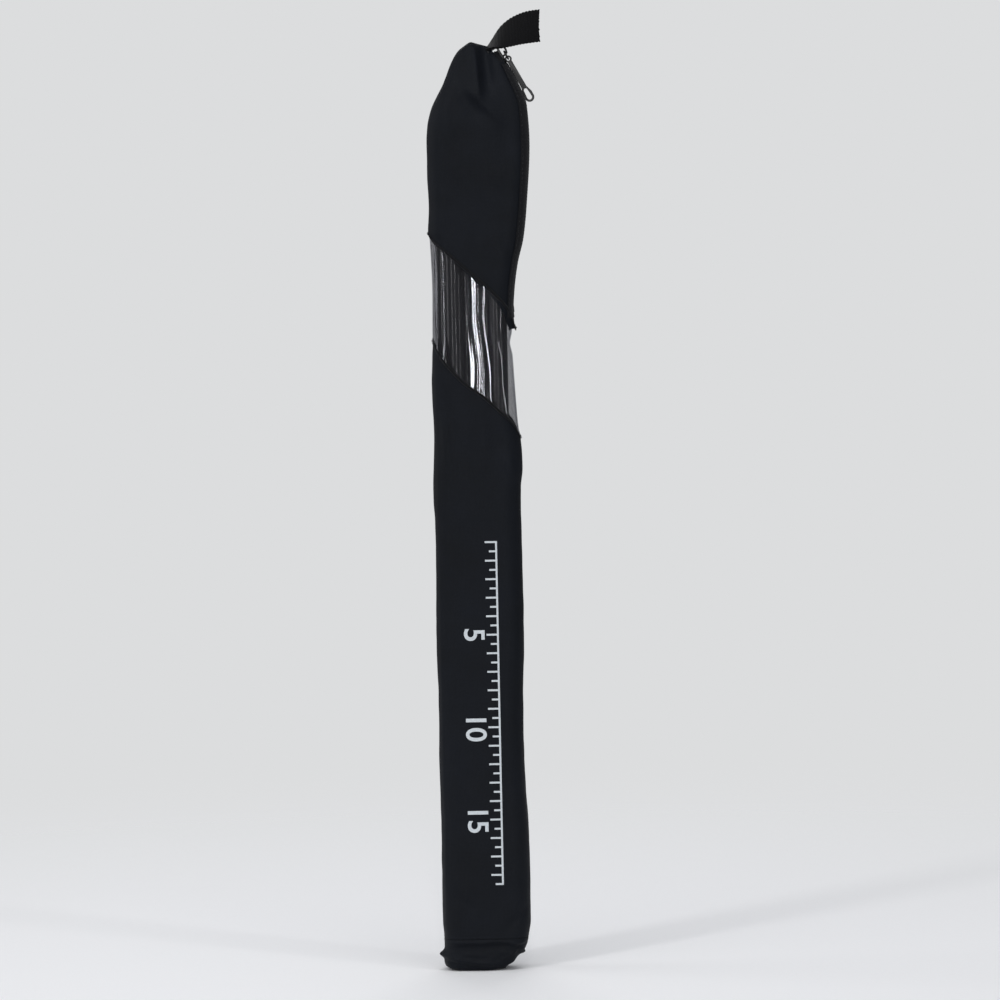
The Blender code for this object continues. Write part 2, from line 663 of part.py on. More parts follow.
def lock():
    """The handle's lock: a bored collar, a stop on the cable's end, and a button to let it go."""
    x, y = tube_places()[0]
    base = TUBE_FOOT + TUBE_LENGTH
    outer, plug, bore = TUBE_OD / 2, FERRULE_OD / 2, COLLAR_BORE / 2
    profile = [(outer - 0.8, COLLAR_HEIGHT), (outer, COLLAR_HEIGHT - 0.8), (outer, GAP + 0.3),
               (outer - 0.3, GAP), (plug, GAP), (plug, 0.5 - COLLAR_PLUG),
               (plug - 0.5, -COLLAR_PLUG), (bore, -COLLAR_PLUG), (bore, COLLAR_HEIGHT - 0.6),
               (bore + 0.6, COLLAR_HEIGHT)]
    collar = turned("lock_collar", profile, RED, (x, y, base))
    button_hole = rod("button_hole", BUTTON_D + 2 * GAP, 8.0,
                      (x, y - bore - 2.5, base + BUTTON_Z), (math.pi / 2, 0, 0))
    combine(collar, button_hole, "DIFFERENCE")

    length = BUTTON_OUTER - BUTTON_INNER
    button = rod("lock_button", BUTTON_D, length,
                 (x, y - (BUTTON_INNER + BUTTON_OUTER) / 2, base + BUTTON_Z),
                 (math.pi / 2, 0, 0), ALUMINIUM)
    soften(button, 0.35)

    stop = LOCK_OD / 2
    low = 1.5 + GAP
    stop_profile = [(0, LOCK_RISE), (stop - 0.7, LOCK_RISE), (stop, LOCK_RISE - 0.7), (stop, 9.4),
                    (stop - 0.6, 8.8), (stop - 0.6, 7.0), (stop, 6.4), (stop, low + 1.5),
                    (stop - 0.8, low), (0, low)]
    stop_piece = turned("cable_stop", stop_profile, STEEL, (x, y, base))
    eye = rod("stop_eye", LOOP_WIRE + 2 * GAP, 8.0, (x, y, base + LOCK_RISE - 2.1),
              (0, math.pi / 2, 0))
    combine(stop_piece, eye, "DIFFERENCE")


def pull_loop():
    """A loop of cord through the cable stop's eye, to pull the cable tight by."""
    x, y = tube_places()[0]
    low = TUBE_FOOT + TUBE_LENGTH + LOCK_RISE - 2.1
    corner = 2.2
    upright = LOOP_HEIGHT - corner
    outline = [(-LOOP_HALF + corner, 0), (LOOP_HALF - corner, 0)]
    outline += [(LOOP_HALF - 0.6, 0.6), (LOOP_HALF, corner), (LOOP_HALF, upright - 1.0)]
    outline += [(LOOP_HALF - 0.9, upright + 1.0), (1.5, LOOP_HEIGHT), (-1.5, LOOP_HEIGHT)]
    outline += [(-LOOP_HALF + 0.9, upright + 1.0), (-LOOP_HALF, upright - 1.0)]
    outline += [(-LOOP_HALF, corner), (-LOOP_HALF + 0.6, 0.6)]
    points = [(across, 0, up) for across, up in outline]
    loop = wire("pull_loop", points, LOOP_WIRE, RED, closed=True)
    loop.location = Vector((x, y, low)) * MM


bag_walls()
bag_hems()
webbing_tab()
zip_tape("zip_tape_front", -1)
zip_tape("zip_tape_back", 1)
zip_coil("zip_coil_front", -1, 0.0)
zip_coil("zip_coil_back", 1, 0.5)
zip_bottom_stop()
zip_slider()
pull_link()
pull_tab()
probe_sections()
ferrules()
cable()
probe_tip()
lock()
pull_loop()
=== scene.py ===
import json
import math

import bmesh
import bpy
from mathutils import Matrix, Vector, noise


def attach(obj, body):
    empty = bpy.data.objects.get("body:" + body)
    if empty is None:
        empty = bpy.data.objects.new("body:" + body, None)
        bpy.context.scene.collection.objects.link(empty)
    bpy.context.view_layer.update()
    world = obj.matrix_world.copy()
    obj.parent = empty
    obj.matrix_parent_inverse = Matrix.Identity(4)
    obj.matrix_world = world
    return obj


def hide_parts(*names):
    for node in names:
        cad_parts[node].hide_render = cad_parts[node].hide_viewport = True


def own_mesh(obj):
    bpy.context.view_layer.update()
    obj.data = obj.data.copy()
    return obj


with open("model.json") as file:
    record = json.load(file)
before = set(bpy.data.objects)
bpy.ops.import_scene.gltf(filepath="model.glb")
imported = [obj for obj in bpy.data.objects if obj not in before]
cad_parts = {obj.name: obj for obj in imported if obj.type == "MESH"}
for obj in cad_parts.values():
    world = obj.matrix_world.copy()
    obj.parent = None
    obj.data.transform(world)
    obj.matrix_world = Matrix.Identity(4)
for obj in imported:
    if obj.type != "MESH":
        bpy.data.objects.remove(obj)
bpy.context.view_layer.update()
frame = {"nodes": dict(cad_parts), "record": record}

# A folded probe in its zipped carry bag. Sizes are in millimetres off the sleeve's own axis,
# which stands a little left of the origin, and go to metres where a mesh is placed.
mm = 0.001
axisX = -7.02

print("stage 1: camera, lamps and floor")

shot = {
    "middle": (4.9, -13.0, 254.5),   # point of the bag's front that the frame is centred on
    "width": 536.7,                  # of the frame, at that point
    "distance": 5000.0,
    "elevation": 5.0,
    "roll": -1.167,                  # the bag leans a little to the left
    "sensor": 36.0,
}


def linearColour(code):
    # an sRGB hex value as the linear colour that sockets take
    parts = [int(code[i:i + 2], 16) / 255 for i in (1, 3, 5)]
    linear = [c / 12.92 if c <= 0.04045 else ((c + 0.055) / 1.055) ** 2.4 for c in parts]
    return (*linear, 1.0)


def addNode(tree, kind, values=None, links=None, **settings):
    # one shader node, with its settings, socket values and incoming links
    node = tree.nodes.new("ShaderNode" + kind)
    for name, value in settings.items():
        setattr(node, name, value)
    for name, value in (values or {}).items():
        node.inputs[name].default_value = value
    for name, source in (links or {}).items():
        tree.links.new(source, node.inputs[name])
    return node


def blankMaterial(name):
    material = bpy.data.materials.new(name)
    material.use_nodes = True
    material.node_tree.nodes.clear()
    return material, material.node_tree


def toneRamp(tree, source, dark, light, low=0.0, high=1.0):
    # a grain or weave as tones from dark to light
    ramp = addNode(tree, "ValToRGB", links={"Fac": source})
    for end, place, code in ((0, low, dark), (1, high, light)):
        ramp.color_ramp.elements[end].position = place
        ramp.color_ramp.elements[end].color = linearColour(code)
    return ramp.outputs["Color"]


def leaveEdit():
    bpy.ops.object.mode_set(mode="OBJECT")


def deselectAll():
    if bpy.context.object and bpy.context.object.mode != "OBJECT":
        leaveEdit()
    bpy.ops.object.select_all(action="DESELECT")


def editAll():
    # edit mode with everything selected
    bpy.ops.object.mode_set(mode="EDIT")
    bpy.ops.mesh.select_all(action="SELECT")


def addCamera():
    deselectAll()
    bpy.ops.object.camera_add()
    camera = bpy.context.object
    rise = math.radians(shot["elevation"])
    away = Vector((0, -math.cos(rise), math.sin(rise))) * shot["distance"] * mm
    turn = Matrix.Rotation(math.pi / 2 - rise, 4, "X") @ Matrix.Rotation(math.radians(shot["roll"]), 4, "Z")
    camera.matrix_world = Matrix.Translation(Vector(shot["middle"]) * mm + away) @ turn
    camera.data.sensor_width = shot["sensor"]
    camera.data.lens = shot["sensor"] * shot["distance"] / shot["width"]
    bpy.context.scene.camera = camera


lamps = {
    # name: azimuth, elevation, distance and size in metres, and power; azimuth 0 is the front
    "leftPanel": {"azimuth": -38, "elevation": 22, "distance": 1.9, "size": (0.18, 1.7), "power": 9},
    "flankPanel": {"azimuth": -98, "elevation": 14, "distance": 2.0, "size": (0.9, 1.6), "power": 9},
    "rightPanel": {"azimuth": 46, "elevation": 18, "distance": 2.0, "size": (0.14, 1.7), "power": 5.5},
    "frontStrip": {"azimuth": 0.4, "elevation": 6, "distance": 2.6, "size": (0.07, 2.4), "power": 16},
    "topPanel": {"azimuth": -8, "elevation": 66, "distance": 1.8, "size": (1.5, 1.0), "power": 12},
    "backPanel": {"azimuth": 178, "elevation": 35, "distance": 2.1, "size": (1.4, 1.0), "power": 14},
}


def addLamps():
    target = Vector((0, 0, 0.26))      # the middle of the bag
    for name, lamp in lamps.items():
        deselectAll()
        side, rise = math.radians(lamp["azimuth"]), math.radians(lamp["elevation"])
        way = Vector((math.sin(side) * math.cos(rise), -math.cos(side) * math.cos(rise), math.sin(rise)))
        bpy.ops.object.light_add(type="AREA", location=target + way * lamp["distance"])
        light = bpy.context.object
        light.name = name
        light.rotation_euler = way.to_track_quat("Z", "Y").to_euler()
        light.data.shape = "RECTANGLE"
        light.data.size, light.data.size_y = lamp["size"]
        light.data.energy = lamp["power"]


def addStage():
    # pale surround in three levels: as the camera sees it, as glossy pieces mirror it, and its light
    world = bpy.data.worlds.new("studioSurround")
    bpy.context.scene.world = world
    world.use_nodes = True
    tree = world.node_tree
    tree.nodes.clear()
    path = addNode(tree, "LightPath")
    seen = addNode(tree, "Math", links={0: path.outputs["Is Camera Ray"],
                                        1: path.outputs["Is Transmission Ray"]}, operation="MAXIMUM")
    lit = addNode(tree, "Background", {"Color": linearColour("#b9bcc2"), "Strength": 0.62})
    mirrored = addNode(tree, "Background", {"Color": linearColour("#97989b"), "Strength": 0.45})
    shown = addNode(tree, "Background", {"Color": linearColour("#dcddde"), "Strength": 1.0})
    bounced = addNode(tree, "MixShader", links={0: path.outputs["Is Glossy Ray"], 1: lit.outputs[0],
                                                2: mirrored.outputs[0]})
    mixed = addNode(tree, "MixShader", links={0: seen.outputs[0], 1: bounced.outputs[0], 2: shown.outputs[0]})
    addNode(tree, "OutputWorld", links={"Surface": mixed.outputs[0]})

    deselectAll()
    bpy.ops.mesh.primitive_circle_add(vertices=64, radius=2.6, fill_type="NGON", location=(0, 0, -0.0003))
    floor = bpy.context.object
    floor.name = "paleFloor"
    bpy.ops.object.transform_apply(location=True, rotation=True, scale=True)
    # matt board that fades out into the surround a little way off, so that no edge shows
    material, tree = blankMaterial("matteStudioFloor")
    place = addNode(tree, "TexCoord")
    grain = addNode(tree, "TexNoise", {"Scale": 900.0, "Detail": 2.0}, {"Vector": place.outputs["Object"]})
    tone = toneRamp(tree, grain.outputs["Fac"], "#e9e9ea", "#f0f0f1")
    board = addNode(tree, "BsdfPrincipled", {"Roughness": 0.9, "Specular IOR Level": 0.1},
                    {"Base Color": tone})
    clear = addNode(tree, "BsdfTransparent")
    reach = addNode(tree, "VectorMath", links={0: place.outputs["Object"]}, operation="LENGTH")
    fade = addNode(tree, "MapRange", {"From Min": 0.15, "From Max": 1.0}, {"Value": reach.outputs["Value"]},
                   interpolation_type="SMOOTHSTEP")
    mixed = addNode(tree, "MixShader", links={0: fade.outputs[0], 1: board.outputs[0], 2: clear.outputs[0]})
    addNode(tree, "OutputMaterial", links={"Surface": mixed.outputs[0]})
    floor.data.materials.append(material)


bpy.context.scene.view_settings.view_transform = "Standard"
addCamera()
addLamps()
addStage()

print("stage 2: materials")


def coords(tree, source="UV", scale=(1, 1, 1)):
    place = addNode(tree, "TexCoord")
    mapping = addNode(tree, "Mapping", {"Scale": scale}, {"Vector": place.outputs[source]})
    return mapping.outputs["Vector"]


def reliefFrom(tree, height, strength, depth):
    # small relief that catches the light, with its depth in metres
    bump = addNode(tree, "Bump", {"Strength": strength, "Distance": depth}, {"Height": height})
    return bump.outputs["Normal"]


def bandScale(pitch):
    # wave texture scale that gives one band each pitch, in millimetres
    return 2 * math.pi / 20 / (pitch * mm)


def weave(tree, vector, warp, weft):
    # crossing threads as a height from 0 to 1; warp and weft are thread spacings in millimetres
    across = addNode(tree, "TexWave", {"Scale": bandScale(warp)}, {"Vector": vector}, bands_direction="X")
    along = addNode(tree, "TexWave", {"Scale": bandScale(weft)}, {"Vector": vector}, bands_direction="Y")
    both = addNode(tree, "Mix", {"Factor": 0.5}, {"A": along.outputs["Fac"], "B": across.outputs["Fac"]},
                   data_type="FLOAT")
    return both.outputs["Result"]


def finishMaterial(tree, shader):
    addNode(tree, "OutputMaterial", links={"Surface": shader.outputs[0]})


def clothMaterial(name, dark, light, warp, weft, bump, roughness, sheen, source="UV", patch=0.035):
    # woven cloth: thread relief, a painted highlight that makes the threads a shade lighter on top, and slow
    # patches of handling
    material, tree = blankMaterial(name)
    vector = coords(tree, source)
    threads = weave(tree, vector, warp, weft)
    patches = addNode(tree, "TexNoise", {"Scale": 1 / patch, "Detail": 4.0, "Roughness": 0.6},
                      {"Vector": vector})
    # the tone mixes random patches of handling with a painted highlight on the crowns of the threads
    handlingAndThreadHighlight = addNode(tree, "Mix", {"Factor": 0.35}, {"A": patches.outputs["Fac"], "B": threads},
                    data_type="FLOAT")
    tone = toneRamp(tree, handlingAndThreadHighlight.outputs["Result"], dark, light, 0.25, 0.75)
    gloss = addNode(tree, "MapRange", {"To Min": roughness - 0.07, "To Max": roughness + 0.09},
                    {"Value": patches.outputs["Fac"]})
    relief = reliefFrom(tree, threads, bump, 0.00012)
    shader = addNode(tree, "BsdfPrincipled", {"Sheen Weight": sheen, "Sheen Roughness": 0.45,
                                              "Specular IOR Level": 0.14},
                     {"Base Color": tone, "Roughness": gloss.outputs["Result"], "Normal": relief})
    finishMaterial(tree, shader)
    return material


def metalMaterial(name, dark, light, roughness, metallic, grain, stretch=(1, 1, 1), coat=0.0, bump=0.2):
    # metal, nylon or ink: fine grain in the tone, the roughness and the relief
    material, tree = blankMaterial(name)
    vector = coords(tree, "Object", stretch)
    specks = addNode(tree, "TexNoise", {"Scale": 1 / (grain * mm), "Detail": 5.0, "Roughness": 0.65},
                     {"Vector": vector})
    tone = toneRamp(tree, specks.outputs["Fac"], dark, light, 0.3, 0.7)
    gloss = addNode(tree, "MapRange", {"To Min": max(0.04, roughness - 0.08), "To Max": roughness + 0.1},
                    {"Value": specks.outputs["Fac"]})
    relief = reliefFrom(tree, specks.outputs["Fac"], bump, 0.00003)
    shader = addNode(tree, "BsdfPrincipled",
                     {"Metallic": metallic, "Coat Weight": coat, "Coat Roughness": 0.06},
                     {"Base Color": tone, "Roughness": gloss.outputs["Result"], "Normal": relief})
    finishMaterial(tree, shader)
    return material


def wornPaint(name, paint, light, bare, roughness):
    # black baked paint on die-cast zinc: orange peel, and a few rubbed specks of bare metal
    material, tree = blankMaterial(name)
    vector = coords(tree, "Object")
    peel = addNode(tree, "TexNoise", {"Scale": 1400.0, "Detail": 3.0}, {"Vector": vector})
    rub = addNode(tree, "TexNoise", {"Scale": 700.0, "Detail": 6.0, "Roughness": 0.7}, {"Vector": vector})
    worn = addNode(tree, "MapRange", {"From Min": 0.66, "From Max": 0.7}, {"Value": rub.outputs["Fac"]})
    tone = toneRamp(tree, peel.outputs["Fac"], paint, light)
    mixed = addNode(tree, "Mix", {"B": linearColour(bare)},
                    {"Factor": worn.outputs["Result"], "A": tone}, data_type="RGBA")
    relief = reliefFrom(tree, peel.outputs["Fac"], 0.3, 0.00003)
    shader = addNode(tree, "BsdfPrincipled",
                     {"Roughness": roughness, "Coat Weight": 0.25, "Coat Roughness": 0.3},
                     {"Base Color": mixed.outputs["Result"], "Metallic": worn.outputs["Result"],
                      "Normal": relief})
    finishMaterial(tree, shader)
    return material


def clearFilm():
    # calendered PVC film: clear, glossy, faintly grey, with soft scuffs that catch light
    material, tree = blankMaterial("calenderedClearPvc")
    vector = coords(tree, "UV", (1, 0.12, 1))
    scuffs = addNode(tree, "TexNoise", {"Scale": 260.0, "Detail": 6.0, "Roughness": 0.7}, {"Vector": vector})
    gloss = addNode(tree, "MapRange", {"From Min": 0.45, "From Max": 0.8, "To Min": 0.035, "To Max": 0.1},
                    {"Value": scuffs.outputs["Fac"]})
    clear = addNode(tree, "BsdfTransparent", {"Color": linearColour("#dcdcdd")})
    shine = addNode(tree, "BsdfGlossy", {"Color": linearColour("#f4f5ff")},
                    {"Roughness": gloss.outputs["Result"]})
    haze = addNode(tree, "BsdfDiffuse", {"Color": linearColour("#bababf")})
    facing = addNode(tree, "Fresnel", {"IOR": 1.53})
    # only the outer face of the thin film mirrors
    side = addNode(tree, "NewGeometry")
    outer = addNode(tree, "Math", {0: 1.0}, {1: side.outputs["Backfacing"]}, operation="SUBTRACT")
    share = addNode(tree, "Math", links={0: facing.outputs[0], 1: outer.outputs[0]}, operation="MULTIPLY")
    film = addNode(tree, "MixShader", links={0: share.outputs[0], 1: clear.outputs[0], 2: shine.outputs[0]})
    veil = addNode(tree, "MixShader", {0: 0.01}, {1: film.outputs[0], 2: haze.outputs[0]})
    finishMaterial(tree, veil)
    return material


def carbonTube():
    # pultruded carbon tube under clear lacquer: near black, twill just visible, sharp highlights
    material, tree = blankMaterial("lacqueredCarbon")
    vector = coords(tree, "Object")
    towA = addNode(tree, "TexWave", {"Scale": bandScale(2.2)}, {"Vector": vector}, bands_direction="DIAGONAL")
    towB = addNode(tree, "TexWave", {"Scale": bandScale(1.1)}, {"Vector": vector}, bands_direction="Z")
    both = addNode(tree, "Math", links={0: towA.outputs["Fac"], 1: towB.outputs["Fac"]}, operation="MULTIPLY")
    tone = toneRamp(tree, both.outputs[0], "#0a0a10", "#1a1a23")
    shader = addNode(tree, "BsdfPrincipled", {"Roughness": 0.34, "Coat Weight": 1.0, "Coat Roughness": 0.04},
                     {"Base Color": tone})
    finishMaterial(tree, shader)
    return material


def cableMaterial():
    # seven-strand steel wire rope: the strands wind round, so their relief runs on a slant
    material, tree = blankMaterial("strandedSteelCable")
    vector = coords(tree, "Object")
    strands = addNode(tree, "TexWave", {"Scale": bandScale(1.3)}, {"Vector": vector},
                      bands_direction="DIAGONAL")
    # painted shade: the grooves between the strands are painted darker and their crowns lighter, following
    # the relief
    tone = toneRamp(tree, strands.outputs["Fac"], "#4b4d50", "#b4b6b9")
    relief = reliefFrom(tree, strands.outputs["Fac"], 0.8, 0.0002)
    shader = addNode(tree, "BsdfPrincipled", {"Roughness": 0.32, "Metallic": 1.0},
                     {"Base Color": tone, "Normal": relief})
    finishMaterial(tree, shader)
    return material


# nylon plain weave, its threads drawn 0.7 mm apart so that they show close up
nylonCloth = clothMaterial("coatedNylonWeave", "#05080d", "#0f131b", 0.7, 0.7, 0.5, 0.6, 0.02)
bindingCloth = clothMaterial("grosgrainBinding", "#08090b", "#121317", 0.5, 0.9, 0.7, 0.75, 0.08)
webbingCloth = clothMaterial("flatWovenWebbing", "#020203", "#08080b", 1.4, 1.0, 0.9, 0.78, 0.1)
tapeCloth = clothMaterial("zipTapeTwill", "#0a0b0d", "#15161a", 0.6, 0.8, 0.8, 0.8, 0.08)
cordCloth = clothMaterial("braidedCord", "#6d1210", "#a3241c", 0.5, 0.5, 0.9, 0.7, 0.1, "Object", 0.004)
threadCloth = clothMaterial("polyesterThread", "#0d0e11", "#23252b", 0.3, 0.3, 0.6, 0.55, 0.1,
                            "Object", 0.003)
nylonCoil = metalMaterial("extrudedNylonCoil", "#0b0c0e", "#17181b", 0.3, 0.0, 0.8)
blackZinc = wornPaint("bakedBlackPaintOnZinc", "#0b0b0c", "#131315", "#8d8f92", 0.46)
turnedAlloy = metalMaterial("turnedAluminium", "#a9abad", "#c6c8ca", 0.26, 1.0, 1.2, (1, 1, 12))
brightSteel = metalMaterial("turnedSteel", "#8d9094", "#b3b6ba", 0.24, 1.0, 1.0, (1, 1, 10))
redAlloy = metalMaterial("redAnodisedAluminium", "#8c120f", "#ab1d16", 0.3, 1.0, 0.6, coat=0.3)
whitePrint = metalMaterial("screenPrintInk", "#b3b9be", "#cbd1d5", 0.6, 0.0, 0.9, bump=0.4)
filmClear = clearFilm()
carbon = carbonTube()
cableSteel = cableMaterial()

print("stage 3: finish of the rigid pieces")

rigid = {
    # node: material, slot, width of the softened edges in mm (0 leaves the edges as they are)
    **{name: (carbon, "carbon", 0) for name in
       ("handle_section", "section_2", "section_3", "section_4", "section_5", "tip_section")},
    **{"ferrule_" + str(k): (turnedAlloy, "aluminium", 0) for k in range(1, 6)},
    "probe_tip": (turnedAlloy, "aluminium", 0), "lock_button": (turnedAlloy, "aluminium", 0),
    "lock_collar": (redAlloy, "red_anodised", 0), "cable_stop": (brightSteel, "steel", 0),
    "tension_cable": (cableSteel, "steel", 0), "pull_loop": (cordCloth, "loop_cord", 0),
    "pull_link": (blackZinc, "black_metal", 0), "zip_slider": (blackZinc, "black_metal", 0.16),
    "pull_tab": (blackZinc, "black_metal", 0.42), "zip_bottom_stop": (blackZinc, "black_metal", 0.2),
}


def bodyOf(nodeName):
    bodies = frame["record"]["behaviour"]["bodies"]
    return next(name for name, nodes in bodies.items() if nodeName in nodes)


def refineRigid(nodeName, material, softened):
    # a copy with its doubles merged, smooth over round parts; where its edges are softened, its flat
    # faces are joined first
    node = frame["nodes"][nodeName]
    deselectAll()
    piece = bpy.data.objects.new(nodeName + "_finished", node.data.copy())
    bpy.context.scene.collection.objects.link(piece)
    piece.select_set(True)
    bpy.context.view_layer.objects.active = piece
    editAll()
    bpy.ops.mesh.remove_doubles(threshold=0.00001)
    if softened:
        bpy.ops.mesh.dissolve_limited(angle_limit=math.radians(2))
    leaveEdit()
    if softened:
        bevel = piece.modifiers.new("softened", "BEVEL")
        bevel.width = softened * mm
        bevel.segments = 3
        bevel.limit_method = "ANGLE"
        bevel.angle_limit = math.radians(45)
        bpy.ops.object.modifier_apply(modifier="softened")
    piece.data.materials.clear()
    piece.data.materials.append(material)
    bpy.ops.object.shade_smooth_by_angle(angle=math.radians(38))
    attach(piece, bodyOf(nodeName))
    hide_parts(nodeName)


for nodeName, (material, slot, softened) in rigid.items():
    refineRigid(nodeName, material, softened)

print("stage 4: the bag's cloth")

bag = {
    "girth": 130.1,
    "flatShare": 0.31,          # share of the half depth that is flat down each side
    "fabric": 0.6, "film": 0.45,
    "seam": 17.0, "top": 501.0,  # heights of the foot's seam and the hood's top
    "slot": 4.7,                # half the gap that the hood leaves for the zip
    "underHem": 1.2,            # how far the cloth runs on under the window's hems
    # (height, offset) of the outlines
    "left": ((0, -20.4), (1.0, -22.4), (3.2, -23.0), (9, -22.9), (17, -22.7), (26, -23.3), (145, -23.4),
             (182, -23.8), (242, -23.2), (254, -23.7), (290, -22.9), (308, -23.4), (343, -22.4), (372, -22.1),
             (394, -22.8), (399, -23.9), (412, -23.1), (432, -23.5), (448, -23.5), (455, -23.0), (462, -21.4),
             (471, -17.5), (478, -14.0), (488, -10.2), (496, -5.9), (499.5, -1.5), (501, 1.5)),
    "right": ((0, 16.6), (0.8, 19.4), (3, 20.3), (9, 21.5), (17, 22.9), (26, 24.2), (42, 24.2), (75, 23.7),
              (104, 22.4), (128, 22.1), (182, 23.1), (232, 23.2), (260, 23.5), (271, 24.6), (286, 23.9),
              (292, 22.6), (302, 21.8), (341, 20.2), (358, 20.9), (369, 21.8), (381, 23.6), (395, 27.0),
              (412, 29.0), (447, 31.2), (465, 30.2), (478, 25.6), (488, 20.4), (494, 17.0), (498, 13.2),
              (501, 10.4)),
    "depth": ((0, 11.4), (3, 12.4), (9, 12.9), (17, 13.0), (400, 13.0), (455, 13.2), (465, 12.6),
              (475, 11.2), (482, 9.4), (489, 7.3), (495, 5.6), (498, 4.3), (500, 2.7), (501, 1.4)),
    # (share of the way across the front from left to right, height) of the window's slanted edges
    "windowTop": ((0, 396.4), (0.02, 393.6), (0.115, 389.1), (0.29, 382.2), (0.46, 375.6), (0.636, 369.0),
                  (0.757, 364.3), (0.877, 359.0), (0.963, 352.8), (1, 344.8)),
    "windowLow": ((0, 341.4), (0.045, 337.0), (0.12, 331.8), (0.255, 324.8), (0.415, 317.9), (0.62, 311.2),
                  (0.79, 303.9), (0.87, 300.2), (0.957, 295.0), (1, 288.6)),
    "measuredAt": {"windowTop": 372.0, "windowLow": 314.0},    # height of the width those shares are of
}


def smoothAt(points, at):
    # value at a place on a smooth curve through (place, value) points
    at = min(max(at, points[0][0]), points[-1][0])
    i = max(k for k in range(len(points) - 1) if points[k][0] <= at)
    (a0, v0), (a1, v1) = points[i], points[i + 1]
    run = a1 - a0

    def slope(k):
        if k == 0 or k == len(points) - 1:
            return (v1 - v0) / run
        before = (points[k][1] - points[k - 1][1]) / (points[k][0] - points[k - 1][0])
        after = (points[k + 1][1] - points[k][1]) / (points[k + 1][0] - points[k][0])
        return 0.0 if before * after <= 0 else 2 * before * after / (before + after)

    t = (at - a0) / run
    return ((2 * t ** 3 - 3 * t ** 2 + 1) * v0 + (t ** 3 - 2 * t ** 2 + t) * run * slope(i)
            + (3 * t ** 2 - 2 * t ** 3) * v1 + (t ** 3 - t ** 2) * run * slope(i + 1))


def smoothStep(value, low, high):
    t = min(1.0, max(0.0, (value - low) / (high - low)))
    return t * t * (3 - 2 * t)


def bell(off, width):
    # 1 in the middle of a swell or crease, falling away to both sides
    return math.exp(-(off / width) ** 2)


def wallPoint(share, z, slot=0.0):
    # point and outward normal of the bag's wall; share runs from the zip over the front and round
    left, right, depth = (smoothAt(bag[edge], z) for edge in ("left", "right", "depth"))
    radius = depth * (1 - bag["flatShare"])
    flat = depth - radius
    start = math.asin(min(0.8, max(0.0, slot - flat) / radius))
    side, corner = max(0.0, flat - slot), radius * (math.pi / 2 - start)
    front, quarter = right - left - 2 * radius, radius * math.pi / 2
    runs = (side, corner, front, quarter, 2 * flat, quarter, front, corner, side)
    way = share * sum(runs)
    k = 0
    while k < 8 and way > runs[k]:
        way -= runs[k]
        k += 1
    if k == 0:
        return right, -slot - way, 1.0, 0.0
    if k == 2:
        return right - radius - way, -depth, 0.0, -1.0
    if k == 4:
        return left, -flat + way, -1.0, 0.0
    if k == 6:
        return left + radius + way, depth, 0.0, 1.0
    if k == 8:
        return right, flat - way, 1.0, 0.0
    angle = {1: start + way / radius, 3: math.pi / 2 + way / radius,
             5: math.pi - way / radius, 7: math.pi / 2 - way / radius}[k]
    centre = right - radius if k in (1, 7) else left + radius
    face = -1 if k in (1, 3) else 1
    return (centre + radius * math.cos(angle), face * (flat + radius * math.sin(angle)),
            math.cos(angle), face * math.sin(angle))


def edgeHeight(edge, share):
    # height of a window edge, which slants across the front and back again behind
    z = bag["measuredAt"][edge]
    left, right = smoothAt(bag["left"], z), smoothAt(bag["right"], z)
    return smoothAt(bag[edge], (wallPoint(share, z)[0] - left) / (right - left))


# Creases and folds of the front, as the photograph shows them, and plain ones of the back. Each is
# a line from one (x, z) to another, its rise outward in mm, the width of its flanks, how much of
# each end fades away, and how many times as wide its left or lower flank is.
frontFolds = (
    ((2.6, 503), (5.6, 462), 3.5, 2.3, (0.0, 0.5), 2.6),
    ((8.2, 503), (11.5, 468), -2.4, 3.2, (0.2, 0.5), 1.0),
    ((-8.0, 492), (-5.5, 470), -0.6, 2.6, (0.2, 0.5), 1.0),
    ((-3.0, 479), (20.0, 454), 2.1, 6.0, (0.3, 0.5), 0.45),
    ((-7.0, 472), (8.0, 459), -0.8, 3.4, (0.3, 0.4), 1.0),
    ((-15, 474), (-11, 440), 0.5, 4.0, (0.4, 0.4), 1.0),
    ((14, 462), (24, 432), -0.8, 4.5, (0.4, 0.5), 1.0),
    ((4, 440), (22, 418), 0.7, 5.0, (0.5, 0.5), 1.0),
    ((-16, 436), (2, 402), -0.5, 5.0, (0.5, 0.5), 1.0),
    ((10, 405), (20, 372), 0.6, 3.5, (0.4, 0.4), 1.0),
    ((-22, 330), (-6, 262), -0.55, 2.6, (0.4, 0.6), 1.0),
    ((-19, 322), (-15, 258), 0.5, 1.8, (0.5, 0.5), 1.0),
    ((-21.6, 336), (-21.2, 20), 0.5, 0.9, (0.05, 0.05), 1.0),
    ((4, 300), (20, 268), -0.7, 3.6, (0.5, 0.5), 1.0),
    ((12, 286), (22, 262), 0.8, 3.0, (0.5, 0.5), 1.0),
    ((-18, 196), (6, 184), -0.3, 3.0, (0.5, 0.5), 1.0),
    ((-2, 172), (19, 158), 0.3, 3.5, (0.5, 0.5), 1.0),
    ((-20, 120), (-2, 96), -0.35, 3.2, (0.5, 0.5), 1.0),
    ((4, 62), (22, 40), 0.5, 2.8, (0.5, 0.4), 1.0),
    ((-20, 44), (-4, 30), -0.5, 2.6, (0.4, 0.4), 1.0),
    ((8.0, 19), (24.5, 36), -0.6, 2.0, (0.4, 0.1), 1.0),
)
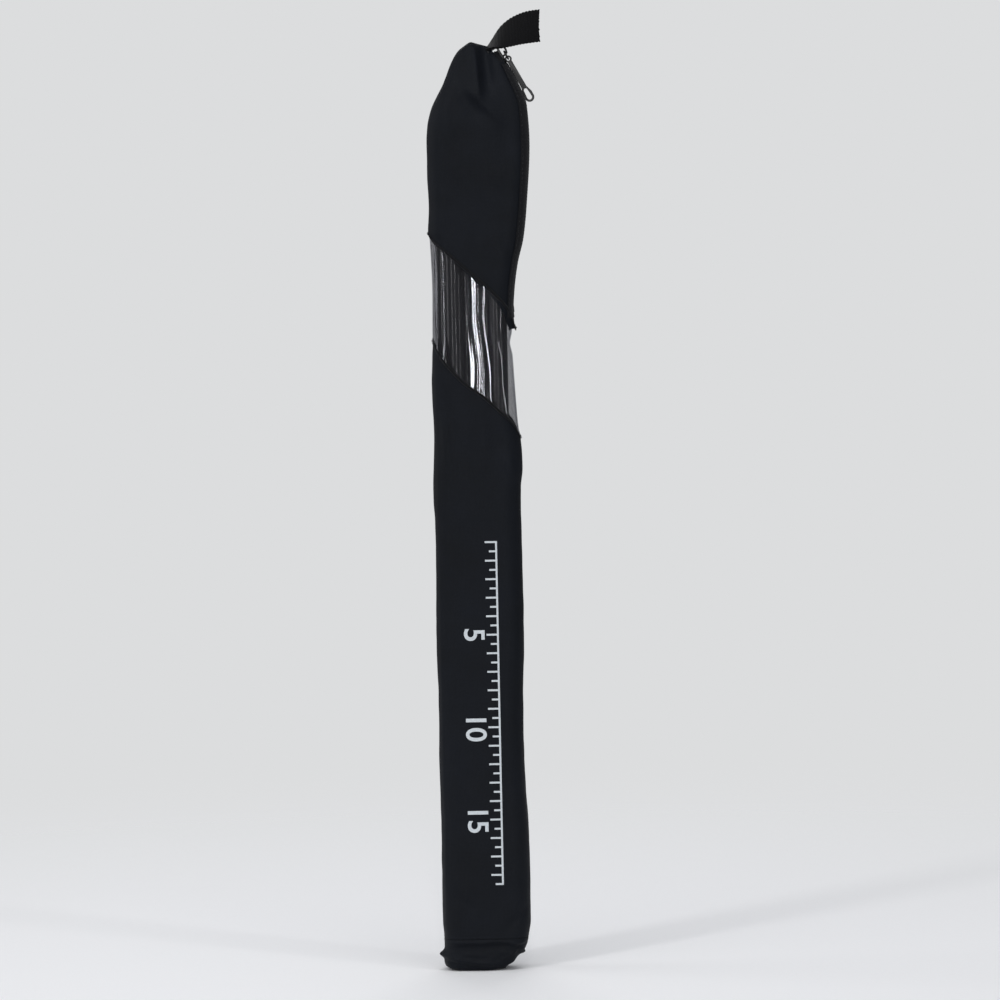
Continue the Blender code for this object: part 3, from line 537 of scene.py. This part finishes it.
backFolds = (
    ((6, 503), (2, 470), -2.0, 3.0, (0.0, 0.5), 1.0),
    ((10, 498), (18, 462), 1.0, 3.2, (0.1, 0.5), 1.0),
    ((-6, 490), (-14, 452), 0.9, 3.6, (0.2, 0.5), 1.0),
    ((-18, 440), (12, 400), -0.8, 5.0, (0.4, 0.4), 1.0),
    ((-19, 300), (10, 270), -0.6, 4.0, (0.5, 0.5), 1.0),
    ((16, 250), (-6, 214), 0.5, 4.0, (0.5, 0.5), 1.0),
    ((-16, 150), (14, 120), -0.5, 4.2, (0.5, 0.5), 1.0),
    ((18, 60), (-14, 34), 0.5, 3.0, (0.5, 0.5), 1.0),
)


def foldRise(x, z, face):
    total = 0.0
    rows = frontFolds if face < 0 else backFolds
    for (x0, z0), (x1, z1), height, flank, (first, last), sharp in rows:
        run = (x1 - x0) ** 2 + (z1 - z0) ** 2
        t = ((x - x0) * (x1 - x0) + (z - z0) * (z1 - z0)) / run
        if not 0 < t < 1:
            continue
        off = -((x - x0) * (z1 - z0) - (z - z0) * (x1 - x0)) / math.sqrt(run)
        width = flank * (sharp if off < 0 else 1.0)
        fade = (smoothStep(t, 0, first) if first else 1.0) * (smoothStep(1 - t, 0, last) if last else 1.0)
        total += height * fade * bell(off, width)
    return total


drape = {
    "sleeveTop": 345, "sleeveFolds": 1.5,    # the sleeve's folds stand out that many times as far
    "crown": 0.55, "middle": 0.5, "reach": 22,    # the flat sides swell outward, in mm
    "slow": 0.5, "quick": 0.22,              # long and short wrinkles
}


def clothRise(x, y, z, ny):
    # how far the cloth stands off its plain section: crown, folds and small wrinkles
    face = -1 if y < 0 else 1
    flatness = ny * ny
    rise = foldRise(x, z, face) * flatness * (drape["sleeveFolds"] if z < drape["sleeveTop"] else 1.0)
    rise += drape["crown"] * flatness * (1 - min(1.0, ((x - drape["middle"]) / drape["reach"]) ** 2))
    slow = noise.noise(Vector((x * 0.055, y * 0.06, z * 0.022)))
    quick = noise.noise(Vector((x * 0.16 + z * 0.05, y * 0.16 + 7, z * 0.09 - x * 0.03)))
    rise += drape["slow"] * slow + drape["quick"] * quick
    return rise * smoothStep(z, 1.0, 12.0)


def newGrid(name, across, up, placeVertex, closed=True):
    # a flat sheet wrapped to shape, with a UV map of the flat cloth in metres; a closed one has its
    # two side edges joined
    deselectAll()
    bpy.ops.mesh.primitive_grid_add(x_subdivisions=across, y_subdivisions=up, size=1.0)
    piece = bpy.context.object
    piece.name = name
    mesh = piece.data
    layer = mesh.uv_layers.active.data
    flat = [(vertex.co.x + 0.5, vertex.co.y + 0.5) for vertex in mesh.vertices]
    places, cuts = zip(*(placeVertex(u, v) for u, v in flat))
    for loop in mesh.loops:
        layer[loop.index].uv = cuts[loop.vertex_index]
    for vertex, place in zip(mesh.vertices, places):
        vertex.co = place
    if closed:
        editAll()
        bpy.ops.mesh.remove_doubles(threshold=0.00002)
        leaveEdit()
    return piece


def worldPoint(x, y, z):
    return Vector(((x + axisX) * mm, y * mm, z * mm))


def giveThickness(piece, thickness, offset=-1.0, flip=False):
    if flip:
        editAll()
        bpy.ops.mesh.flip_normals()
        leaveEdit()
    solid = piece.modifiers.new("thickness", "SOLIDIFY")
    solid.thickness = thickness * mm
    solid.offset = offset
    solid.use_even_offset = False
    bpy.ops.object.modifier_apply(modifier="thickness")


def finishPiece(piece, material, body="bag", replaces=(), angle=50):
    deselectAll()
    piece.select_set(True)
    bpy.context.view_layer.objects.active = piece
    piece.data.materials.clear()
    piece.data.materials.append(material)
    bpy.ops.object.shade_smooth_by_angle(angle=math.radians(angle))
    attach(piece, body)
    if replaces:
        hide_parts(*replaces)


def hoodFlare(y, z, nx):
    # the hem's corner stands out a little at the lowest point of the hood, under the zip
    return 1.7 * max(0.0, nx) * (1 - smoothStep(abs(y), 3, 12)) * (1 - smoothStep(z, 345, 358))


def clothPoint(share, z, slot=0.0, inset=0.0, flare=False):
    x, y, nx, ny = wallPoint(share, z, slot)
    rise = clothRise(x, y, z, ny)
    if slot:
        near = abs(1 - 2 * share)
        rise *= 1 - smoothStep(near, 0.9, 0.98)      # held flat by the zip
    if flare:
        rise += hoodFlare(y, z, nx)
    return x + nx * (rise - inset), y + ny * (rise - inset), z


def makeSleeve():
    cloth = {"across": 150, "up": 170, "low": bag["seam"] + 0.1}

    def placeVertex(u, v):
        high = edgeHeight("windowLow", u) - bag["underHem"]
        z = cloth["low"] + (high - cloth["low"]) * v
        return worldPoint(*clothPoint(u, z)), (u * bag["girth"] * mm, z * mm)

    sleeve = newGrid("sleeve_cloth", cloth["across"], cloth["up"], placeVertex)
    giveThickness(sleeve, bag["fabric"], flip=True)
    finishPiece(sleeve, nylonCloth, replaces=("lower_sleeve",))
    return sleeve


def makeHood():
    cloth = {"across": 220, "up": 150, "girth": 137.0, "slope": 2.6, "gather": 1.1}

    def placeVertex(u, v):
        low = edgeHeight("windowTop", u) + bag["underHem"]
        z = low + (bag["top"] - low) * v
        x, y, z = clothPoint(u, z, bag["slot"], flare=True)
        # the top slopes down to the right, and its gathers draw it down a little
        drop = cloth["slope"] * min(1.0, max(0.0, (x - 1.5) / 9)) * smoothStep(z, 486, 500)
        drop += cloth["gather"] * smoothStep(z, 465, 500)
        return worldPoint(x, y, z - drop), (u * cloth["girth"] * mm, z * mm)

    hood = newGrid("hood_cloth", cloth["across"], cloth["up"], placeVertex, closed=False)
    closeTop(hood)
    giveThickness(hood, bag["fabric"], flip=True)
    finishPiece(hood, nylonCloth, replaces=("hood",))
    return hood


def selectRim(piece, low, high, level):
    # edit mode with only the open edges selected that lie between two heights and are level, all in mm
    bpy.ops.object.mode_set(mode="EDIT")
    bpy.ops.mesh.select_mode(type="EDGE")
    mesh = bmesh.from_edit_mesh(piece.data)
    for element in (*mesh.faces, *mesh.edges, *mesh.verts):
        element.select = False
    for edge in mesh.edges:
        a, b = sorted(vertex.co.z / mm for vertex in edge.verts)
        edge.select = edge.is_boundary and low < a and b < high and b - a < level
    bmesh.update_edit_mesh(piece.data)


def closeTop(piece):
    # the top is sewn shut: the gap between its front and back edges is filled
    top = max(vertex.co.z for vertex in piece.data.vertices) / mm
    reach, level = 6.5, 1.2
    selectRim(piece, top - reach, top + 1, level)
    bpy.ops.mesh.edge_face_add()
    leaveEdit()


def makeFoot():
    # (offset, height) of the foot's lower edge, which climbs to the right
    lower = ((-23, 1.4), (-20, 0.7), (-12, 0.3), (0, 0), (5, 0.6), (9.4, 2.0), (11.6, 2.8), (14.2, 4.0),
             (16.8, 7.6))
    cloth = {"across": 150, "up": 40, "sag": 0.12,
             "rings": (0.97, 0.96, 0.95, 0.93, 0.9, 0.86, 0.78, 0.6, 0.4)}

    def placeVertex(u, v):
        z = (bag["seam"] - 0.1) * v
        x, y, nx, ny = wallPoint(u, z)
        wave = noise.noise(Vector((x * 0.11, y * 0.11, 3)))
        # a soft roll runs round just under the seam, the cloth tucks in below it and swells out low down
        roll = 0.8 * bell(z - 14.9 - 1.2 * wave, 1.3)
        tuck = 1.0 * bell(z - 11.6 - 1.5 * wave, 2.4)
        swell = 1.5 * bell(z - 3.6 + 0.12 * x, 1.5) * smoothStep(-x, -8, 4)
        crumple = 0.8 * noise.noise(Vector((x * 0.2, y * 0.2, z * 0.3)))
        # a pointed ear stands out at the left, and a small one at the right
        ear = 2.5 * bell(z - 7.6, 2.0) * bell(y + 3.0, 4.6) * max(0.0, -nx)
        smallEar = 0.9 * bell(z - 1.6, 1.2) * bell(y + 4.0, 4.0) * max(0.0, nx)
        rise = clothRise(x, y, z, ny) + (roll - tuck + swell) * ny * ny + ear + smallEar
        rise += crumple * (1 - smoothStep(z, 4.0, 16.0)) * smoothStep(z, 0.0, 3.0)
        lift = smoothAt(lower, x) * (1 - smoothStep(z, 0.0, 16.0))
        return worldPoint(x + nx * rise, y + ny * rise, z + lift), (u * bag["girth"] * mm, z * mm)

    foot = newGrid("foot_cloth", cloth["across"], cloth["up"], placeVertex)
    rim = len(foot.data.vertices)
    selectRim(foot, -1, 0.5 * bag["seam"], 5)
    for shrink in cloth["rings"]:
        bpy.ops.mesh.extrude_edges_move()
        bpy.ops.transform.resize(value=(shrink, shrink, 1.0), center_override=(axisX * mm, 0, 0))
    bpy.ops.mesh.merge(type="CENTER")
    leaveEdit()
    for vertex in foot.data.vertices[rim:]:
        # the underside sags to the floor under the folded cable
        x, y = vertex.co.x / mm - axisX, vertex.co.y / mm
        near = max(smoothStep(abs(y), 6.4, 11.4), smoothStep(x, 8.8, 11.8), smoothStep(-x, 17.3, 22.0))
        vertex.co.z = (cloth["sag"] + (smoothAt(lower, x) - cloth["sag"]) * near) * mm
    giveThickness(foot, bag["fabric"], flip=True)
    finishPiece(foot, nylonCloth, replaces=("bag_foot",))
    return foot


def makeHem(name, edge, base, high, material, node, flare=False):
    # a half-round strip along the cloth: a rolled hem at a window edge, a drawn-in seam at the foot
    hem = {"across": 240, "up": 8, "proud": 0.8 if edge else -0.9, "thick": 0.5, "puckers": 52}

    def placeVertex(u, v):
        turn = math.pi * v
        z = (edgeHeight(edge, u) if edge else 0.0) + base + high * (0.5 - 0.5 * math.cos(turn))
        wander = 3 * noise.noise(Vector((u * 7, 1, base)))
        pucker = 1 + 0.16 * math.sin(2 * math.pi * u * hem["puckers"] + wander)
        # the window's hems lie flat where they go round the flanks
        flank = 1 - wallPoint(u, z)[3] ** 2 if edge else 0.0
        stand = 0.1 + hem["proud"] * math.sin(turn) * pucker * (1 - 0.65 * flank)
        x, y, z = clothPoint(u, z, inset=-stand, flare=flare)
        return worldPoint(x, y, z), (u * bag["girth"] * mm, v * high * mm)

    strip = newGrid(name, hem["across"], hem["up"], placeVertex)
    giveThickness(strip, hem["thick"], flip=True)
    finishPiece(strip, material, replaces=(node,))
    return strip


film = {
    "across": 420, "up": 56,
    "underHem": 1.0,                 # how far it runs on under the hems
    "crown": 0.7,                    # its flat sides swell outward, in mm
    "coarse": 3.7, "fine": 1.9,      # spacing of its two sets of ripples
    "fineRise": 0.006, "flankRise": 0.3,
}


def filmRise(x, y, z, ny):
    # film pulled over the tubes: nearly flat, with shallow ripples that run up and down its middle
    flatness = ny * ny
    wander = 1.5 * noise.noise(Vector((x * 0.08, 2.0, z * 0.028))) + 0.4 * math.sin(z * 0.13)
    bend = x + 0.05 * (z - 340) + wander
    strength = 0.016 + 0.006 * noise.noise(Vector((5.0, x * 0.2, z * 0.03)))
    ripple = strength * math.cos(2 * math.pi * bend / film["coarse"])
    ripple += film["fineRise"] * math.cos(2 * math.pi * bend / film["fine"] + 1.0)
    ripple += 0.03 * noise.noise(Vector((bend * 0.16, 4.0 if y < 0 else 9.0, z * 0.012)))
    crown = film["crown"] * (1 - min(1.0, ((x - 0.9) / 15) ** 2))
    side = noise.noise(Vector((3.0, y * 0.5, z * 0.03)))
    return flatness * (crown + ripple) + (1 - flatness) * film["flankRise"] * side


def makeFilm():
    def placeVertex(u, v):
        low = edgeHeight("windowLow", u) - film["underHem"]
        high = edgeHeight("windowTop", u) + film["underHem"]
        z = low + (high - low) * v
        x, y, nx, ny = wallPoint(u, z)
        rise = filmRise(x, y, z, ny)
        # it puckers in under the hood's lowest corner
        rise -= 1.3 * max(0.0, nx) * bell(z - 338, 4.5)
        return worldPoint(x + nx * rise, y + ny * rise, z), (u * bag["girth"] * mm, z * mm)

    sheet = newGrid("window_sheet", film["across"], film["up"], placeVertex)
    giveThickness(sheet, bag["film"], flip=True)
    finishPiece(sheet, filmClear, replaces=("window_film",), angle=80)
    return sheet


webbing = {
    # offsets of its ends, its thickness and the spacing of its ribs; it starts inside the hood's seam
    "start": 9.4, "end": 38.2, "thick": 1.3, "rib": 1.7, "ribRise": 0.16,
    # (offset, value) along its way out to the right: height, turn in degrees and half width
    "rise": ((9.4, 495.8), (10.6, 496.6), (13.3, 498.9), (17.5, 502.0), (22.8, 504.6), (28, 506.3),
             (32.7, 507.3), (38.4, 508.0)),
    "turn": ((9.4, 3), (10.6, 8), (13.3, 20), (17.5, 38), (22.8, 55), (28, 68), (32.7, 80), (38.4, 88)),
    "half": ((9.4, 3.0), (12, 5.0), (15, 7.2), (18, 8.2), (24, 8.4), (38.4, 8.4)),
}


def makeWebbing():
    def placeVertex(u, v):
        x = webbing["start"] + (webbing["end"] - webbing["start"]) * u
        turn = math.radians(smoothAt(webbing["turn"], x))
        edge = abs(2 * v - 1)
        rib = abs(math.sin(math.pi * (x + 0.12 * noise.noise(Vector((x, v * 3, 0)))) / webbing["rib"]))
        half = smoothAt(webbing["half"], x) + 0.34 * rib
        across = half * (2 * v - 1)
        swell = webbing["ribRise"] * rib * math.sin(math.pi * min(1.0, 4 * (1 - edge)) / 2)
        frayed = smoothStep(u, 0.965, 1.0) * (0.5 * noise.noise(Vector((v * 26, 5, 0))) + 0.35 * (edge - 0.5))
        rise = smoothAt(webbing["rise"], x) + 0.25 * math.sin(math.pi * v) * smoothStep(u, 0.4, 1.0)
        place = worldPoint(x + frayed - 0.5 * swell, across * math.cos(turn) - swell * math.sin(turn),
                           rise + across * math.sin(turn))
        return place, (x * mm, across * mm)

    tab = newGrid("webbing_end", 170, 30, placeVertex, closed=False)
    giveThickness(tab, webbing["thick"], offset=0.0)
    finishPiece(tab, webbingCloth, replaces=("webbing_tab",))
    return tab


sleeveCloth = makeSleeve()
hoodCloth = makeHood()
footCloth = makeFoot()
upperHem = makeHem("hood_hem", "windowTop", 0.0, 2.2, bindingCloth, "window_upper_hem", True)
lowerHem = makeHem("sleeve_hem", "windowLow", -2.2, 2.2, bindingCloth, "window_lower_hem")
footSeam = makeHem("foot_seam", None, bag["seam"] - 0.9, 1.8, nylonCloth, "foot_binding")
windowSheet = makeFilm()
tabWebbing = makeWebbing()

print("stage 5: the zip, stitching and printed scale")


def flankPoint(y, z, inset):
    # point of the hood's right flank, in line with the zip
    right, depth = smoothAt(bag["right"], z), smoothAt(bag["depth"], z)
    radius = depth * (1 - bag["flatShare"])
    beyond = max(0.0, abs(y) - (depth - radius))
    bend = max(radius - inset, 0.05)
    return right - radius + math.sqrt(max(0.0, bend ** 2 - min(beyond, 0.97 * bend) ** 2))


def flankFrame(y, z, inset):
    # outward, across and along the flank, as a matrix that places a copied shape
    ahead = flankPoint(y, z + 0.5, inset) - flankPoint(y, z - 0.5, inset)
    along = Vector((ahead, 0, 1)).normalized()
    outward = Vector((along.z, 0, -along.x))
    turned = Matrix((outward, Vector((0, 1, 0)), along)).transposed().to_4x4()
    return Matrix.Translation(worldPoint(flankPoint(y, z, inset), y, z)) @ turned


def copyTo(template, name, places):
    # one mesh made of a small shape repeated at each place
    shape = template.data
    corners, faces = [], []
    for place in places:
        first = len(corners)
        corners += [place @ vertex.co for vertex in shape.vertices]
        faces += [[first + index for index in face.vertices] for face in shape.polygons]
    mesh = bpy.data.meshes.new(name)
    mesh.from_pydata(corners, [], faces)
    piece = bpy.data.objects.new(name, mesh)
    bpy.context.scene.collection.objects.link(piece)
    return piece


zipper = {
    # tapes: heights, offsets of the edges, thickness, and depth under the cloth
    "low": 345.2, "high": 494.5, "inner": 0.55, "outer": 7.2, "thick": 0.45, "under": 0.75,
    "meet": 0.04, "parting": (353, 359),    # below the stop the tapes come together
    "coilLow": 360.0, "coilHigh": 491.5, "pitch": 1.6, "coilOffset": 1.05, "coilProud": 0.35,
    # woven bands on the cloth: heights, overlap into the opening, thickness, spacing of their ribs,
    # and width, also as a share of the bag's half depth where the hood draws in
    "bandLow": 352.0, "bandTall": 136.0, "lap": 0.25, "bandThick": 0.3, "rib": 1.8,
    "bandWide": 7.6, "bandShare": 0.78,
}


def makeTape(name, side):
    def placeVertex(u, v):
        z = zipper["low"] + (zipper["high"] - zipper["low"]) * v
        widest = min(zipper["outer"], smoothAt(bag["depth"], z) - 0.9)
        inner = zipper["meet"] + (zipper["inner"] - zipper["meet"]) * smoothStep(z, *zipper["parting"])
        y = inner + (widest - inner) * u
        bead = 0.16 * bell(y - 3.1, 0.3)      # the row of stitches that holds the coil
        return worldPoint(flankPoint(y, z, zipper["under"] - bead), side * y, z), (z * mm, y * mm)

    tape = newGrid(name, 14, 170, placeVertex, closed=False)
    giveThickness(tape, zipper["thick"], offset=-side)
    finishPiece(tape, tapeCloth, replaces=(name.replace("woven_tape", "zip_tape"),))
    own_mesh(tape)
    return tape


def makeTooth():
    # one turn of the coil: a flattened ring, leaning as a spiral does
    turn = {"radius": 1.0, "wire": 0.27, "flattened": (0.62, 1.45, 1.25), "lean": 12}
    deselectAll()
    bpy.ops.mesh.primitive_torus_add(major_segments=10, minor_segments=5, major_radius=turn["radius"] * mm,
                                     minor_radius=turn["wire"] * mm, location=(0, 0, 0))
    tooth = bpy.context.object
    editAll()
    bpy.ops.transform.resize(value=turn["flattened"], center_override=(0, 0, 0))
    bpy.ops.transform.rotate(value=math.radians(turn["lean"]), orient_axis="X", center_override=(0, 0, 0))
    leaveEdit()
    return tooth


def makeCoil(name, side, tooth, start):
    places = []
    z = zipper["coilLow"] + start
    while z < zipper["coilHigh"]:
        places.append(flankFrame(side * zipper["coilOffset"], z, zipper["under"] - zipper["coilProud"]))
        z += zipper["pitch"]
    coil = copyTo(tooth, name, places)
    finishPiece(coil, nylonCoil, replaces=(name.replace("wound_coil", "zip_coil"),), angle=80)
    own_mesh(coil)
    return coil


def zipEdge(z):
    # width of the woven band at a height
    return min(zipper["bandWide"], zipper["bandShare"] * smoothAt(bag["depth"], z))


def bandPoint(side, way, z, proud):
    # a point on the hood's cloth, so far round from the zip's opening
    share = way / (bag["girth"] - 2 * bag["slot"])
    return clothPoint(share if side < 0 else 1 - share, z, bag["slot"], -proud, True)


def makeBand(name, side):
    # the zip's woven edge, sewn down over the cloth beside the opening
    def placeVertex(u, v):
        z = zipper["bandLow"] + zipper["bandTall"] * v
        rib = 0.09 * abs(math.sin(math.pi * z / zipper["rib"]))
        edge = 0.1 * bell(u - 0.95, 0.05)
        way = -zipper["lap"] + (zipEdge(z) + zipper["lap"]) * u
        x, y, z = bandPoint(side, way, z, 0.1 + rib + edge)
        return worldPoint(x, y, z), (u * 8 * mm, z * mm)

    band = newGrid(name, 14, 300, placeVertex, closed=False)
    giveThickness(band, zipper["bandThick"], offset=side)
    finishPiece(band, tapeCloth)
    return band


def makeStitch(length, radius):
    # one stitch: a short bead of thread with rounded ends, lying along X
    deselectAll()
    bpy.ops.mesh.primitive_uv_sphere_add(segments=6, ring_count=5, radius=radius * mm, location=(0, 0, 0))
    stitch = bpy.context.object
    editAll()
    bpy.ops.transform.rotate(value=math.radians(90), orient_axis="Y", center_override=(0, 0, 0))
    bpy.ops.transform.resize(value=(length / (2 * radius), 1.0, 0.7), center_override=(0, 0, 0))
    leaveEdit()
    return stitch


sewing = {"length": 1.7, "thread": 0.19, "pitch": 2.6, "low": 352.5, "steps": 268, "middle": 1.0}


def stitchPlaces(path):
    # places along a row: X along it, Z outward from the bag's middle
    rows, gone, pitch = [], 0.0, sewing["pitch"]
    for a, b in zip(path, path[1:]):
        step = b - a
        gone += step.length
        if gone < pitch * mm:
            continue
        gone -= pitch * mm
        along = step.normalized()
        outward = Vector((a.x - (axisX + sewing["middle"]) * mm, a.y, 0))
        outward = (outward - along * outward.dot(along)).normalized()
        matrix = Matrix((along, outward.cross(along), outward)).transposed().to_4x4()
        rows.append(Matrix.Translation(a) @ matrix)
    return rows


def sewRows():
    # rows along both edges of the zip's bands, and one along each window hem
    stitch = makeStitch(sewing["length"], sewing["thread"])
    places = []
    for side in (-1, 1):
        rise = [sewing["low"] + 0.5 * k for k in range(sewing["steps"])]
        places += stitchPlaces([worldPoint(*bandPoint(side, zipEdge(z) - 0.9, z, 0.55)) for z in rise])
        places += stitchPlaces([worldPoint(*bandPoint(side, 1.1, z, 0.5)) for z in rise])
    for edge, up, flare in (("windowTop", 1.5, True), ("windowLow", -1.5, False)):
        row = [worldPoint(*clothPoint(u, edgeHeight(edge, u) + up, inset=-0.66, flare=flare))
               for u in (k / 420 for k in range(421))]
        places += stitchPlaces(row)
    rows = copyTo(stitch, "stitching", places)
    bpy.data.objects.remove(stitch)
    finishPiece(rows, threadCloth, angle=80)
    return rows


scale = {
    "top": 232.0, "count": 37, "step": 5.0, "line": 8.8, "short": 3.4, "long": 5.6, "bold": 1.0,
    # distance down from the top and number; then the offset, size and added weight of the figures
    "numbers": ((50.0, "5"), (100.0, "10"), (150.0, "15")), "column": -8.6, "height": 15.5, "swell": 0.22,
    "proud": 0.1, "ink": 0.07, "slice": 1.3,
}


def printPoint(x, z, proud):
    # a point of the print on the sleeve's front
    left, right, depth = (smoothAt(bag[edge], z) for edge in ("left", "right", "depth"))
    radius = depth * (1 - bag["flatShare"])
    runs = depth - radius + radius * math.pi / 2
    total = 2 * (right - left - 2 * radius) + 4 * runs
    share = (runs + right - radius - x) / total
    return worldPoint(*clothPoint(share, z, inset=-proud))


def makeScale():
    # ticks and plain numbers, printed to read from the top down, as a flat mesh in millimetres
    flat = bmesh.new()
    for k in range(scale["count"] + 1):
        reach = scale["long"] if k % 2 == 0 else scale["short"]
        middle = scale["line"] - reach / 2
        height = scale["top"] - k * scale["step"]
        place = Matrix.Translation((middle, height, 0))
        place = place @ Matrix.Diagonal((reach / 2, scale["bold"] / 2, 1, 1))
        bmesh.ops.create_grid(flat, x_segments=4, y_segments=1, size=1.0, matrix=place)
    half = scale["count"] * scale["step"] / 2
    place = Matrix.Translation((scale["line"] + scale["bold"] / 2, scale["top"] - half, 0))
    place = place @ Matrix.Diagonal((scale["bold"] / 2, half + scale["bold"] / 2, 1, 1))
    bmesh.ops.create_grid(flat, x_segments=1, y_segments=90, size=1.0, matrix=place)
    ticks = bpy.data.meshes.new("ticks")
    flat.to_mesh(ticks)
    flat.free()
    pieces = [bpy.data.objects.new("printed_scale", ticks)]
    bpy.context.scene.collection.objects.link(pieces[0])
    for down, number in scale["numbers"]:
        deselectAll()
        bpy.ops.object.text_add()
        words = bpy.context.object
        words.data.body = number
        words.data.size = scale["height"]
        words.data.offset = scale["swell"]
        words.data.align_x = "CENTER"
        bpy.ops.object.convert(target="MESH")
        place = Matrix.Translation((scale["column"], scale["top"] - down, 0))
        words = bpy.context.object
        words.data.transform(place @ Matrix.Rotation(-math.pi / 2, 4, "Z"))
        pieces.append(words)
    deselectAll()
    for piece in pieces:
        piece.select_set(True)
    bpy.context.view_layer.objects.active = pieces[0]
    bpy.ops.object.join()
    ruler = pieces[0]
    editAll()
    bpy.ops.mesh.remove_doubles(threshold=0.0001)
    # cut fine enough to follow the cloth
    for cut in range(-11, 10):
        bpy.ops.mesh.select_all(action="SELECT")
        bpy.ops.mesh.bisect(plane_co=(cut, 0, 0), plane_no=(1, 0, 0))
    for down, _ in scale["numbers"]:
        for step in range(-9, 10):
            height = scale["top"] - down + step * scale["slice"]
            bpy.ops.mesh.select_all(action="SELECT")
            bpy.ops.mesh.bisect(plane_co=(0, height, 0), plane_no=(0, 1, 0))
    leaveEdit()
    for vertex in ruler.data.vertices:
        vertex.co = printPoint(vertex.co.x, vertex.co.y, scale["proud"])
    giveThickness(ruler, scale["ink"], offset=1.0)
    finishPiece(ruler, whitePrint)
    return ruler


makeTape("woven_tape_front", -1)
makeTape("woven_tape_back", 1)
toothShape = makeTooth()
makeCoil("wound_coil_front", -1, toothShape, 0.0)
makeCoil("wound_coil_back", 1, toothShape, zipper["pitch"] / 2)
bpy.data.objects.remove(toothShape)
bands = [makeBand("zip_edge_front", -1), makeBand("zip_edge_back", 1)]
stitches = sewRows()
printedScale = makeScale()
